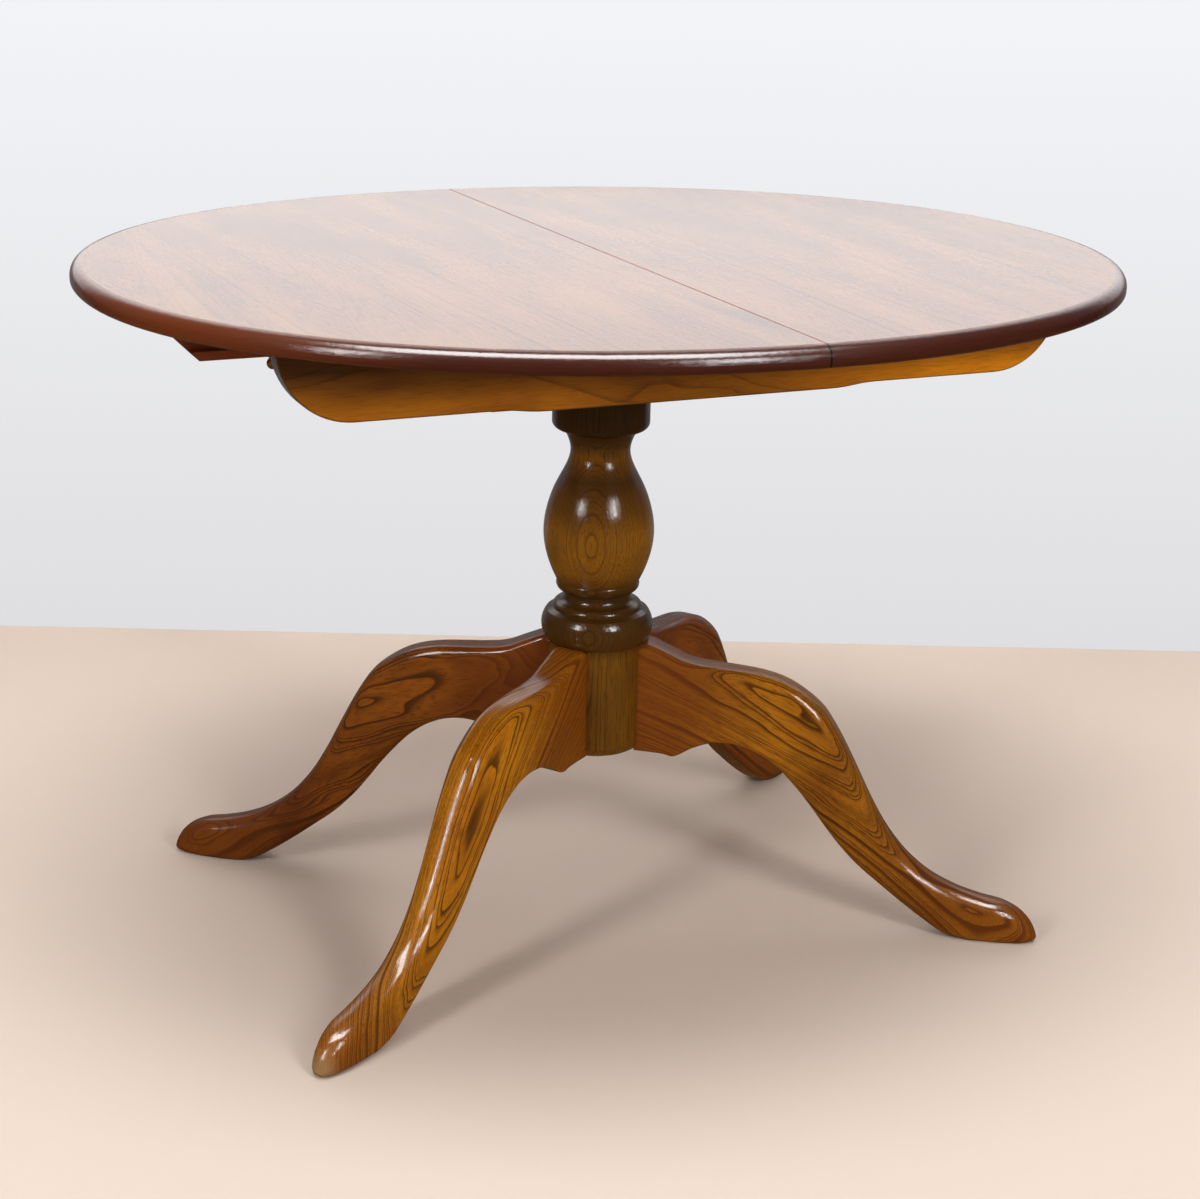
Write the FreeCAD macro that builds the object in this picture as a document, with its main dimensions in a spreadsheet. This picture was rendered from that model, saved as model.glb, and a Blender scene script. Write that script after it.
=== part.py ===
import FreeCAD, Part
import math
import os
import re
from FreeCAD import Placement, Rotation, Vector

# An extending dining table: an oval top in two halves that slide apart along X on a
# shallow frame, over a turned column with four sabre legs. A spare leaf lies folded
# in a well under the closed top. Millimetres, +Z up, origin on the floor under the
# column, +X along the slide, -Y towards the front.

doc = FreeCAD.newDocument("extending_dining_table")

# The driving sizes: name, value, what it measures.
DRIVING_SIZES = [
    # Top
    ("table_height", 720, "floor to the top's upper face"),
    ("top_length", 1070, "closed length of the oval, along the slide"),
    ("top_width", 964, "width of the oval, along the seam"),
    ("top_thick", 20, "thickness of each half"),
    ("top_edge_round", 12, "rounding of the upper edge"),
    ("top_under_round", 5, "rounding of the lower edge"),
    ("seam_gap", 0.4, "gap between the closed halves"),
    ("travel", 190, "how far each half slides out"),
    ("seam_dowel_radius", 4, "peg in the right half's seam edge"),
    ("seam_dowel_reach", 12, "how deep a peg lies in each half"),
    ("seam_dowel_spacing", 300, "distance between two pegs"),
    # Frame
    ("frame_width", 440, "outside of one side rail to outside of the other"),
    ("rail_length", 816, "length of a side rail"),
    ("rail_thick", 25, "thickness of a side rail"),
    ("rail_depth", 84.7, "depth of a side rail in its middle"),
    ("rail_step", 3.7, "how much shallower the rail is near its ends"),
    ("rail_middle_length", 300, "length of the deeper middle"),
    ("rail_step_run", 50, "length of the curved step in the lower edge"),
    ("rail_end_radius", 72, "radius of the rail's lower corner"),
    ("rail_edge_round", 2.5, "rounding along the rail's lower edges"),
    ("top_running_gap", 0.5, "gap between the rails and the sliding top"),
    ("cross_rail_width", 60, "width of a cross rail, along the slide"),
    ("cross_rail_thick", 18.5, "thickness of a cross rail"),
    ("cross_rail_spacing", 220, "distance between the two cross rails"),
    ("end_rail_thick", 20, "thickness of an end rail of the leaf well"),
    ("well_end_gap", 9, "gap between the folded leaf and each end of its well"),
    ("tray_thick", 4, "thickness of the board under the leaf"),
    ("batten_width", 12, "side of the square strips under the tray"),
    ("frame_dowel_radius", 3.5, "dowel at the end of a cross or end rail"),
    ("frame_dowel_length", 30, "length of that dowel"),
    ("frame_dowel_spacing", 30, "distance between two dowels of one joint"),
    ("end_dowel_spacing", 18, "height between two dowels of an end rail"),
    ("frame_dowel_depth", 6, "dowel axis below the cross rail's upper face"),
    # Slides
    ("bearer_width", 32.5, "width of a bearer"),
    ("bearer_depth", 26, "depth of a bearer"),
    ("bearer_inner_end", 15, "from the seam to the bearer's inner end"),
    ("bearer_outer_end", 491, "from the seam to the bearer's outer end"),
    ("runner_width", 20, "thickness of a runner, off the rail"),
    ("runner_depth", 20, "height of a runner"),
    ("runner_length", 780, "length of a runner"),
    ("tongue_reach", 6, "how far the runner's tongue stands out"),
    ("tongue_depth", 8, "height of the tongue"),
    ("slide_gap", 0.5, "gap between the sliding faces"),
    ("stop_length_share", 0.5, "length of a moving stop block, as a share of its end's place"),
    ("stop_width", 20, "width of a stop block"),
    ("stop_play", 0.3, "gap left between the stop blocks at full travel"),
    ("stop_side_gap", 2, "gap between a fixed stop and the bearer beside it"),
    ("stop_head_gap", 5, "gap between a fixed stop and the top"),
    # Stored leaf
    ("leaf_width", 380, "what the leaf adds to the table's length"),
    ("leaf_headroom", 1.5, "gap between the leaf and the bearers"),
    ("leaf_fold_gap", 0.3, "gap between the folded halves, and under them"),
    ("hinge_length", 44, "length of a leaf hinge"),
    ("hinge_wing", 20, "width of one hinge plate"),
    ("hinge_plate_thick", 1.5, "thickness of a hinge plate"),
    ("hinge_knuckle_radius", 2.75, "outer radius of the hinge knuckle"),
    ("hinge_pin_radius", 1.25, "radius of the hinge pin"),
    ("hinge_knuckle_gap", 0.2, "gap between two knuckles"),
    ("hinge_spacing", 140, "distance between two hinges"),
    # Column, radius and height of each turned member
    ("post_radius", 53, "straight post between the legs"),
    ("post_bottom", 183, "floor to the underside of the post"),
    ("post_foot_round", 12, "rounding of the post's lower edge"),
    ("post_top", 304.5, "floor to the base ring"),
    ("ring_radius", 59.6, "base ring"),
    ("ring_height", 33, "height of the base ring"),
    ("low_neck_radius", 36.5, "neck between ring and belly"),
    ("low_neck_share", 0.074, "height of that neck on the way from the ring to the top plate"),
    ("low_bead_radius", 44.6, "bead under the belly"),
    ("low_bead_share", 0.121, "height of that bead, likewise"),
    ("belly_radius", 58.9, "widest part of the column"),
    ("belly_share", 0.356, "height of the widest part, likewise"),
    ("high_neck_radius", 31.6, "neck under the collar"),
    ("high_neck_share", 0.731, "height of that neck, likewise"),
    ("collar_radius", 51.5, "collar at the top"),
    ("collar_share", 0.819, "height of the collar's underside, likewise"),
    ("collar_round", 8, "rounding of the collar's lower edge"),
    ("tenon_radius", 20, "tenon on top of the column"),
    ("plate_length", 300, "top plate along the slide"),
    ("plate_width", 145, "top plate across the slide"),
    ("plate_thick", 29, "thickness of the top plate"),
    # Legs
    ("leg_angle", 35, "degrees between a leg and the slide direction"),
    ("leg_reach", 491, "column axis to the tip of a toe"),
    ("leg_top", 306, "floor to the highest point of a leg"),
    ("toe_length", 68, "instep to the tip of the toe"),
    ("leg_thick", 38, "thickness of a leg"),
    ("leg_upper_round", 9, "rounding of the leg's upper edges"),
    ("leg_lower_round", 4, "rounding of the leg's lower edges"),
    ("leg_seat_radius", 46, "column axis to the leg's inner end"),
    ("leg_inner_bottom", 183, "floor to the leg's underside at the post"),
    ("tail_reach", 14, "length of the dovetail on the leg's inner end"),
    ("tail_root", 13, "width of the dovetail at its root"),
    ("tail_tip", 18, "width of the dovetail at its tip"),
    ("tail_top", 290, "floor to the top of the dovetail"),
    ("joint_gap", 0.05, "glue line around a joint"),
    # Brass bolts
    ("bolt_place", 392, "seam to the bolt, along the slide"),
    ("bolt_drop", 11.5, "bearer's underside to the bolt's axis"),
    ("bolt_radius", 2.5, "radius of the bolt"),
    ("bolt_throw", 10.5, "how far the bolt shoots"),
    ("knob_radius", 5.6, "radius of the ball knob"),
    ("knob_place", 150, "table's middle to the knob's centre, withdrawn"),
    ("barrel_radius", 4.5, "radius of the barrel the bolt slides in"),
    ("barrel_length", 13, "length of the barrel"),
    ("barrel_gap", 0.3, "gap between bolt and barrel"),
    ("bolt_plate_thick", 2.5, "thickness of the plate under the bearer"),
    ("bolt_plate_width", 16, "width of that plate"),
    ("keep_length", 10, "how far the keep stands off the rail"),
    ("keep_side", 11, "width and height of the keep"),
    ("keep_gap", 0.6, "gap between the bolt and the keep"),
    # Wood screws
    ("screw_head_radius", 4, "countersunk head"),
    ("screw_shank_radius", 2, "shank"),
    ("screw_head_depth", 2.6, "depth of the countersunk head"),
    ("screw_point", 5, "length of the point"),
    ("screw_slot", 1, "width and depth of the slot in the head"),
    ("small_screw_share", 0.6, "small brass screw as a share of a wood screw"),
    ("screw_gap", 0.05, "gap around a screw in its hole"),
    ("bearer_screw_length", 37, "screw up through a bearer"),
    ("plate_screw_length", 43, "screw up through the top plate"),
    ("runner_screw_length", 38, "screw through a runner"),
    ("hinge_screw_length", 12, "screw in a leaf hinge"),
    ("bolt_screw_length", 14, "screw in a bolt plate"),
    ("cut_overrun", 10, "how far a cutting shape runs past the wood"),
]

# Places worked out from the driving sizes.
WORKED_OUT = [
    ("under_top", "table_height - top_thick"),
    ("half_top", "top_length / 2"),
    ("half_width", "top_width / 2"),
    ("rail_top", "under_top - top_running_gap"),
    ("rail_bottom", "rail_top - rail_depth"),
    ("rail_face", "frame_width / 2 - rail_thick"),
    ("bearer_bottom", "under_top - bearer_depth"),
    ("slide_level", "under_top - bearer_depth / 2"),
    ("runner_face", "rail_face - runner_width"),
    ("tongue_face", "runner_face - tongue_reach"),
    ("bearer_outer_face", "runner_face - slide_gap"),
    ("bearer_middle", "bearer_outer_face - bearer_width / 2"),
    ("bearer_inner_face", "bearer_outer_face - bearer_width"),
    ("bearer_length", "bearer_outer_end - bearer_inner_end"),
    ("leaf_half_length", "top_width / 2"),
    ("well_length", "leaf_half_length + 2 * well_end_gap"),
    ("leaf_top_level", "bearer_bottom - leaf_headroom"),
    ("leaf_upper_bottom", "leaf_top_level - top_thick"),
    ("leaf_lower_top", "leaf_upper_bottom - leaf_fold_gap"),
    ("leaf_lower_bottom", "leaf_lower_top - top_thick"),
    ("tray_top", "leaf_lower_bottom - leaf_fold_gap"),
    ("tray_bottom", "tray_top - tray_thick"),
    ("cross_rail_bottom", "tray_bottom - cross_rail_thick"),
    ("plate_bottom", "cross_rail_bottom - plate_thick"),
    ("ring_top", "post_top + ring_height"),
    ("turned_height", "plate_bottom - ring_top"),
    ("low_neck_level", "ring_top + low_neck_share * turned_height"),
    ("low_bead_level", "ring_top + low_bead_share * turned_height"),
    ("belly_level", "ring_top + belly_share * turned_height"),
    ("high_neck_level", "ring_top + high_neck_share * turned_height"),
    ("collar_level", "ring_top + collar_share * turned_height"),
    ("end_rail_place", "well_length / 2 + end_rail_thick / 2"),
    ("tray_length", "well_length + 2 * end_rail_thick"),
    ("end_rail_depth", "leaf_top_level - tray_top"),
    ("stop_outer", "well_length / 2 - stop_play - travel"),
    ("stop_length", "stop_outer * stop_length_share"),
    ("bolt_level", "bearer_bottom - bolt_drop"),
    ("keep_face", "rail_face - keep_length"),
    ("bolt_tip", "keep_face - 2 * keep_gap"),
    ("barrel_start", "knob_place + bolt_throw + knob_radius + keep_gap"),
    ("hinge_line", "leaf_half_length / 2 + hinge_knuckle_radius + joint_gap"),
    ("hinge_level", "leaf_lower_top + leaf_fold_gap / 2"),
]

sizes = doc.addObject("Spreadsheet::Sheet", "Sizes")
for row, (alias, value, meaning) in enumerate(DRIVING_SIZES, start=1):
    sizes.set(f"A{row}", alias)
    sizes.set(f"B{row}", str(value))
    sizes.set(f"C{row}", meaning)
    sizes.setAlias(f"B{row}", alias)
DRIVING_NAMES = {alias for alias, value, meaning in DRIVING_SIZES}


def full_names(formula):
    """The formula with each size's name led by the name of its sheet."""
    def full(match):
        word = match.group(0)
        return ("Sizes." if word in DRIVING_NAMES else "Places.") + word
    return re.sub(r"[a-z][a-z_]+", full, formula)


places = doc.addObject("Spreadsheet::Sheet", "Places")
for row, (alias, formula) in enumerate(WORKED_OUT, start=1):
    places.set(f"A{row}", alias)
    places.set(f"B{row}", "=" + full_names(formula).replace("Places.", ""))
    places.setAlias(f"B{row}", alias)
doc.recompute()


def mm(name):
    """The value of a size or a worked-out place."""
    return float((sizes if name in DRIVING_NAMES else places).get(name))


def bind(thing, prop, formula):
    thing.setExpression(prop, full_names(formula))


nodes = {}


def keep(node, piece):
    """Registers a finished piece under the name of its node."""
    piece.Label = node
    nodes[node] = piece
    return piece


# Building blocks: boards, rods, cuts, profiles and screws.

TURNED = {
    "x": Rotation(Vector(0, 1, 0), 90),
    "y": Rotation(Vector(1, 0, 0), -90),
    "z": Rotation(),
}


def board(name, length, width, height, middle_x, middle_y, bottom):
    """A board with six flat faces, centred on middle_x and middle_y."""
    piece = doc.addObject("Part::Box", name)
    bind(piece, "Length", length)
    bind(piece, "Width", width)
    bind(piece, "Height", height)
    bind(piece, "Placement.Base.x", f"{middle_x} - ({length}) / 2")
    bind(piece, "Placement.Base.y", f"{middle_y} - ({width}) / 2")
    bind(piece, "Placement.Base.z", bottom)
    return piece


def rod(name, radius, length, along, x, y, z):
    """A round rod that starts at x, y, z and runs along one axis."""
    piece = doc.addObject("Part::Cylinder", name)
    piece.Placement = Placement(Vector(), TURNED[along])
    bind(piece, "Radius", radius)
    bind(piece, "Height", length)
    bind(piece, "Placement.Base.x", x)
    bind(piece, "Placement.Base.y", y)
    bind(piece, "Placement.Base.z", z)
    return piece


def gather(name, pieces):
    group = doc.addObject("Part::Compound", name)
    group.Links = pieces
    return group


def cut(name, base, tools):
    """The base with all the tools taken out of it."""
    piece = doc.addObject("Part::Cut", name)
    piece.Base = base
    piece.Tool = tools[0] if len(tools) == 1 else gather(name + "_tools", tools)
    return piece


def fuse(name, pieces):
    piece = doc.addObject("Part::MultiFuse", name)
    piece.Shapes = pieces
    return piece


def plane_of(body, role):
    return [f for f in body.Origin.OriginFeatures if f.Role == role][0]


def sketch_on(body, role, name, edges):
    """A sketch on one of the body's own origin planes, from a list of edges."""
    sketch = body.newObject("Sketcher::SketchObject", name)
    sketch.AttachmentSupport = [(plane_of(body, role), "")]
    sketch.MapMode = "FlatFace"
    for edge in edges:
        sketch.addGeometry(edge, False)
    return sketch


def corners(points):
    """Straight edges round a list of corners, closed."""
    rounds = points[1:] + points[:1]
    return [Part.LineSegment(Vector(*a, 0), Vector(*b, 0)) for a, b in zip(points, rounds)]


def flat(point):
    return Vector(point[0], point[1], 0)


def through(points):
    """A smooth curve through points."""
    curve = Part.BSplineCurve()
    curve.interpolate(Points=[flat(p) for p in points])
    return curve


def line(a, b):
    return Part.LineSegment(flat(a), flat(b))


def arc(a, b, c):
    return Part.Arc(flat(a), flat(b), flat(c))


def pad(body, sketch, length, both_ways=False, backwards=False):
    feature = body.newObject("PartDesign::Pad", sketch.Name + "_pad")
    feature.Profile = sketch
    feature.SideType = "Symmetric" if both_ways else "One side"
    feature.Reversed = backwards
    bind(feature, "Length", length)
    sketch.Visibility = False
    return feature


def edges_where(shape, wanted):
    """Names of the edges that the test accepts."""
    return [f"Edge{i}" for i, edge in enumerate(shape.Edges, start=1) if wanted(edge)]


def fillet(body, base, radius, wanted):
    doc.recompute()
    feature = body.newObject("PartDesign::Fillet", base.Name + "_round")
    feature.Base = (base, edges_where(base.Shape, wanted))
    bind(feature, "Radius", radius)
    doc.recompute()
    return feature


def screw_shape(length, scale, grow, slotted):
    """A countersunk screw with its head's face at the origin, pointing along +Z."""
    head = mm("screw_head_radius") * scale + grow
    shank = mm("screw_shank_radius") * scale + grow
    deep = mm("screw_head_depth") * scale
    point = mm("screw_point") * scale
    outline = [(0, 0), (head, 0), (shank, deep), (shank, length - point), (0, length + grow)]
    wire = Part.makePolygon([Vector(r, 0, z) for r, z in outline + outline[:1]])
    shape = Part.Face(wire).revolve(Vector(), Vector(0, 0, 1), 360)
    if slotted:
        slot = mm("screw_slot") * scale
        groove = Part.makeBox(2 * head, slot, slot, Vector(-head, -slot / 2, 0))
        shape = shape.cut(groove)
    return shape


def screw_group(name, spots, length, scale=1.0, as_holes=False):
    """Screws, or the holes for them, at spots of (x, y, z, direction)."""
    grow = mm("screw_gap") if as_holes else 0
    single = screw_shape(mm(length), scale, grow, not as_holes)
    placed = []
    for x, y, z, direction in spots:
        turn = Rotation(Vector(0, 0, 1), Vector(*direction))
        copy = single.copy()
        copy.Placement = Placement(Vector(x, y, z), turn)
        placed.append(copy)
    group = doc.addObject("Part::Feature", name)
    group.Shape = Part.makeCompound(placed)
    return group


UP = (0, 0, 1)
DOWN = (0, 0, -1)
SIDES = {"left": -1, "right": 1}
ROWS = {"front": -1, "back": 1}


# Column and legs


# Curves of the column, as shares of the way between two turned members, first outwards
# and then upwards.
RING_SHELF_SHARE, RING_SWELL_SHARE = 0.25, 0.4
COVE_SHARES = [(0.500, 0.150), (0.450, 0.400), (0.300, 0.550), (0.075, 0.720), (0.000, 1.000)]
BEAD_DROP_SHARE, BEAD_RISE_SHARE, BEAD_TOP_SHARE = 0.667, 0.333, 0.985
BELLY_LOWER_SHARES = [(0.450, 0.340), (0.800, 0.620), (1.000, 1.000)]
BELLY_UPPER_SHARES = [(0.830, 0.340), (0.560, 0.560), (0.225, 0.755), (0.000, 1.000)]
FLARE_SHARES = [(0.110, 0.450), (0.300, 0.800)]


def curve_points(inner, outer, low, high, shares):
    """Points between two radii and two heights, from shares of each way."""
    return [(inner + (outer - inner) * out, low + (high - low) * up) for out, up in shares]


def lower_round(radius, level, size):
    """The rounded lower edge of a turned member."""
    near = size * (1 - math.sqrt(0.5))
    return arc((radius - size, level), (radius - near, level + near), (radius, level + size))


def column_profile():
    """Half of the column's outline, from the axis at the bottom to the axis at the top."""
    post, bottom, foot = mm("post_radius"), mm("post_bottom"), mm("post_foot_round")
    post_top, ring, ring_top = mm("post_top"), mm("ring_radius"), mm("ring_top")
    ring_swell = post_top + (ring_top - post_top) * RING_SWELL_SHARE
    ring_shelf = post + (ring - post) * RING_SHELF_SHARE
    low_neck, low_neck_z = mm("low_neck_radius"), mm("low_neck_level")
    bead, bead_z = mm("low_bead_radius"), mm("low_bead_level")
    belly, belly_z = mm("belly_radius"), mm("belly_level")
    neck, neck_z = mm("high_neck_radius"), mm("high_neck_level")
    collar, collar_z, collar_round = mm("collar_radius"), mm("collar_level"), mm("collar_round")
    shoulder, tenon, tenon_top = mm("plate_bottom"), mm("tenon_radius"), mm("cross_rail_bottom")

    cove = curve_points(low_neck, ring, ring_top, low_neck_z, COVE_SHARES)
    rise = bead_z - low_neck_z
    bead_low = (low_neck, bead_z - rise * BEAD_DROP_SHARE)
    bead_high = (bead * BEAD_TOP_SHARE, bead_z + rise * BEAD_RISE_SHARE)
    swell = curve_points(bead, belly, bead_z, belly_z, BELLY_LOWER_SHARES)
    swell += curve_points(neck, belly, belly_z, neck_z, BELLY_UPPER_SHARES)
    swell += curve_points(neck, collar, neck_z, collar_z, FLARE_SHARES)
    swell.append((collar - collar_round, collar_z))
    return [
        line((0, bottom), (post - foot, bottom)),
        lower_round(post, bottom, foot),
        line((post, bottom + foot), (post, post_top)),
        arc((post, post_top), (ring, ring_swell), (ring_shelf, ring_top)),
        line((ring_shelf, ring_top), cove[0]),
        arc(cove[0], cove[1], cove[2]),
        arc(cove[2], cove[3], cove[4]),
        line(cove[4], bead_low),
        arc(bead_low, (bead, bead_z), bead_high),
        through([bead_high] + swell),
        lower_round(collar, collar_z, collar_round),
        line((collar, collar_z + collar_round), (collar, shoulder)),
        line((collar, shoulder), (tenon, shoulder)),
        line((tenon, shoulder), (tenon, tenon_top)),
        line((tenon, tenon_top), (0, tenon_top)),
        line((0, tenon_top), (0, bottom)),
    ]


def leg_directions():
    """The four legs' names and their angles from +X, in degrees."""
    spread = mm("leg_angle")
    return {
        "leg_back_right": spread,
        "leg_back_left": 180 - spread,
        "leg_front_left": 180 + spread,
        "leg_front_right": -spread,
    }


def tail_plan(gap):
    """Plan of the dovetail on a leg's inner end, from one root to the other."""
    seat = mm("leg_seat_radius")
    inner = seat - mm("tail_reach") - gap
    root, tip = mm("tail_root") / 2 + gap, mm("tail_tip") / 2 + gap
    return [(seat, root), (inner, tip), (inner, -tip), (seat, -root)]


def seat_outline(gap):
    """Plan of what a leg takes out of the post: its full thickness, then the dovetail."""
    seat, half = mm("leg_seat_radius"), mm("leg_thick") / 2 + gap
    outside = mm("post_radius") + mm("cut_overrun")
    return [(outside, half), (seat, half)] + tail_plan(gap) + [(seat, -half), (outside, -half)]


def turned_point(point, degrees):
    c, s = math.cos(math.radians(degrees)), math.sin(math.radians(degrees))
    return (point[0] * c - point[1] * s, point[0] * s + point[1] * c)


def make_column():
    body = doc.addObject("PartDesign::Body", "column_body")
    profile = sketch_on(body, "XZ_Plane", "column_outline", column_profile())
    turned = body.newObject("PartDesign::Revolution", "column_turned")
    turned.Profile = profile
    turned.ReferenceAxis = (profile, ["V_Axis"])
    turned.Angle = 360
    profile.Visibility = False
    doc.recompute()
    whole = turned.Shape.Volume

    outline = []
    for degrees in leg_directions().values():
        outline += corners([turned_point(p, degrees) for p in seat_outline(mm("joint_gap"))])
    seats = sketch_on(body, "XY_Plane", "leg_seats", outline)
    bind(seats, "AttachmentOffset.Base.z", "post_bottom - cut_overrun")
    pocket = body.newObject("PartDesign::Pocket", "leg_seats_cut")
    pocket.Profile = seats
    pocket.Reversed = True
    bind(pocket, "Length", "post_top - post_bottom + cut_overrun")
    seats.Visibility = False
    doc.recompute()
    if pocket.Shape.Volume >= whole:
        raise RuntimeError("the leg seats cut nothing")
    keep("column", body)


# A leg's outline from the post to the instep, as shares of that way and of the leg's
# height, and the toe beyond, as shares of its length and of the same height.
LEG_UPPER_SHARES = [(0.013, 1.000), (0.069, 0.974), (0.132, 0.942), (0.235, 0.928),
                    (0.354, 0.917), (0.447, 0.881), (0.527, 0.810), (0.588, 0.703),
                    (0.649, 0.560), (0.719, 0.405), (0.801, 0.285), (0.898, 0.205),
                    (1.000, 0.160)]
LEG_TOE_SHARES = [(0.406, 0.146), (0.710, 0.118), (0.913, 0.070), (1.000, 0.030), (0.971, 0.000)]
LEG_LOWER_SHARES = [(0.947, 0.000), (0.898, 0.026), (0.823, 0.083), (0.748, 0.150),
                    (0.671, 0.222), (0.596, 0.310), (0.530, 0.415), (0.464, 0.512),
                    (0.398, 0.590), (0.340, 0.635), (0.284, 0.656), (0.228, 0.656),
                    (0.175, 0.637), (0.110, 0.592)]


def leg_point(share):
    post, instep = mm("post_radius"), mm("leg_reach") - mm("toe_length")
    return (post + share[0] * (instep - post), share[1] * mm("leg_top"))


def toe_point(share):
    instep = mm("leg_reach") - mm("toe_length")
    return (instep + share[0] * mm("toe_length"), share[1] * mm("leg_top"))


def make_leg(name, degrees):
    """One leg, made along +X and then turned about the column's axis."""
    seat, bottom = mm("leg_seat_radius"), mm("leg_inner_bottom")
    upper = [leg_point(s) for s in LEG_UPPER_SHARES] + [toe_point(s) for s in LEG_TOE_SHARES]
    lower = [leg_point(s) for s in LEG_LOWER_SHARES]
    under_ring = mm("post_top") - mm("joint_gap")
    edges = [
        line((seat, bottom), (seat, under_ring)),
        line((seat, under_ring), (mm("post_radius"), under_ring)),
        line((mm("post_radius"), under_ring), upper[0]),
        through(upper),
        line(upper[-1], lower[0]),
        through(lower),
        line(lower[-1], (seat, bottom)),
    ]
    body = doc.addObject("PartDesign::Body", name + "_body")
    outline = sketch_on(body, "XZ_Plane", name + "_outline", edges)
    solid = pad(body, outline, "leg_thick", both_ways=True)
    between = (mm("leg_top") + mm("leg_inner_bottom")) / 2

    def long_side_edge(edge):
        box = edge.BoundBox
        return box.XLength > mm("leg_reach") / 2 and box.YLength < mm("joint_gap")

    def is_upper(edge):
        return long_side_edge(edge) and edge.BoundBox.ZMax > between

    def is_lower(edge):
        return long_side_edge(edge) and edge.BoundBox.ZMax < between

    rounded = fillet(body, solid, "leg_upper_round", is_upper)
    fillet(body, rounded, "leg_lower_round", is_lower)

    tail = doc.addObject("PartDesign::Body", name + "_tail")
    tail_sketch = sketch_on(tail, "XY_Plane", name + "_tail_plan", corners(tail_plan(0)))
    bind(tail_sketch, "AttachmentOffset.Base.z", "leg_inner_bottom")
    pad(tail, tail_sketch, "tail_top - leg_inner_bottom")
    leg = fuse(name, [body, tail])
    leg.Placement = Placement(Vector(), Rotation(Vector(0, 0, 1), degrees))
    keep(name, leg)


# Frame

# Where screws and dowels stand, as shares of the piece they go through.
PAIR_SHARES = (-0.5, 0.5)
RUNNER_SCREW_SHARES = (-0.42, -0.14, 0.14, 0.42)
PLATE_SCREW_SHARES = (-0.36, 0, 0.36)
BEARER_SCREW_SHARES = (0.09, 0.35, 0.61, 0.87)
BOLT_SCREW_SHARES = (0.15, 0.75)
HINGE_SCREW_SHARES = (-0.28, 0.28)
HINGE_SCREW_WING_SHARE = 0.62

# The step in a side rail's lower edge, as shares of its run and of its height.
RAIL_STEP_SHARES = [(0.250, 0.125), (0.500, 0.500), (0.750, 0.875), (1.000, 1.000)]


def rail_outline():
    """A side rail seen from the front, as sketch edges."""
    end, radius = mm("rail_length") / 2, mm("rail_end_radius")
    top, bottom = mm("rail_top"), mm("rail_bottom")
    step, run = mm("rail_step"), mm("rail_step_run")
    flat_end = mm("rail_middle_length") / 2
    lobe = bottom + step
    corner = end - radius
    diagonal = radius * math.sqrt(0.5)
    edges = [line((-end, top), (end, top)), line((-flat_end, bottom), (flat_end, bottom))]
    for side in SIDES.values():
        inner = (side * flat_end, bottom)
        low, middle, high, outer = [(side * (flat_end + run * along), bottom + step * up)
                                    for along, up in RAIL_STEP_SHARES]
        edges += [
            line((side * end, top), (side * end, lobe + radius)),
            arc((side * end, lobe + radius),
                (side * (corner + diagonal), lobe + radius - diagonal),
                (side * corner, lobe)),
            line((side * corner, lobe), outer),
            arc(outer, high, middle),
            arc(middle, low, inner),
        ]
    return edges


def dowel_spots():
    """The dowels in the frame: (node, x, outward side of y, z)."""
    spots = []
    for side in SIDES.values():
        for row in ROWS.values():
            for share in PAIR_SHARES:
                x = f"{side} * cross_rail_spacing / 2 + {share} * frame_dowel_spacing"
                z = "tray_bottom - frame_dowel_depth"
                spots.append(("frame_dowels", x, row, z))
                x = f"{side} * end_rail_place"
                z = f"tray_top + end_rail_depth / 2 + {share} * end_dowel_spacing"
                spots.append(("end_rail_dowels", x, row, z))
    return spots


def dowels(prefix, wanted, row_wanted=None):
    """Rods for the frame's dowels, as pieces or as cutting tools."""
    made = []
    for node, x, row, z in dowel_spots():
        if node not in wanted or row_wanted not in (None, row):
            continue
        start = f"{row} * rail_face - frame_dowel_length / 2"
        made.append(rod(f"{prefix}_{len(made)}", "frame_dowel_radius", "frame_dowel_length",
                        "y", x, start, z))
    return made


def runner_screw_spots(row):
    """Screws from the tongue's face outwards into the rail."""
    face, spots = mm("tongue_face"), []
    for share in RUNNER_SCREW_SHARES:
        x = share * mm("runner_length")
        spots.append((x, row * face, mm("slide_level"), (0, row, 0)))
    return spots


def plate_screw_spots():
    spots = []
    for side in SIDES.values():
        for share in PLATE_SCREW_SHARES:
            x = side * mm("cross_rail_spacing") / 2
            spots.append((x, share * mm("plate_width"), mm("plate_bottom"), UP))
    return spots


def make_side_rail(name, row):
    body = doc.addObject("PartDesign::Body", name + "_body")
    outline = sketch_on(body, "XZ_Plane", name + "_outline", rail_outline())
    solid = pad(body, outline, "rail_thick", both_ways=True)
    bind(body, "Placement.Base.y", f"{row} * (rail_face + rail_thick / 2)")
    top, half = mm("rail_top"), mm("rail_thick") / 2

    def lower_edge(edge):
        box = edge.BoundBox
        return box.YLength < half and box.ZMin < top - mm("rail_step") and box.ZMax < top

    fillet(body, solid, "rail_edge_round", lower_edge)
    holes = dowels(name + "_hole", ("frame_dowels", "end_rail_dowels"), row)
    holes.append(screw_group(name + "_screw_holes", runner_screw_spots(row),
                             "runner_screw_length", as_holes=True))
    keep(name, cut(name, body, holes))


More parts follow.
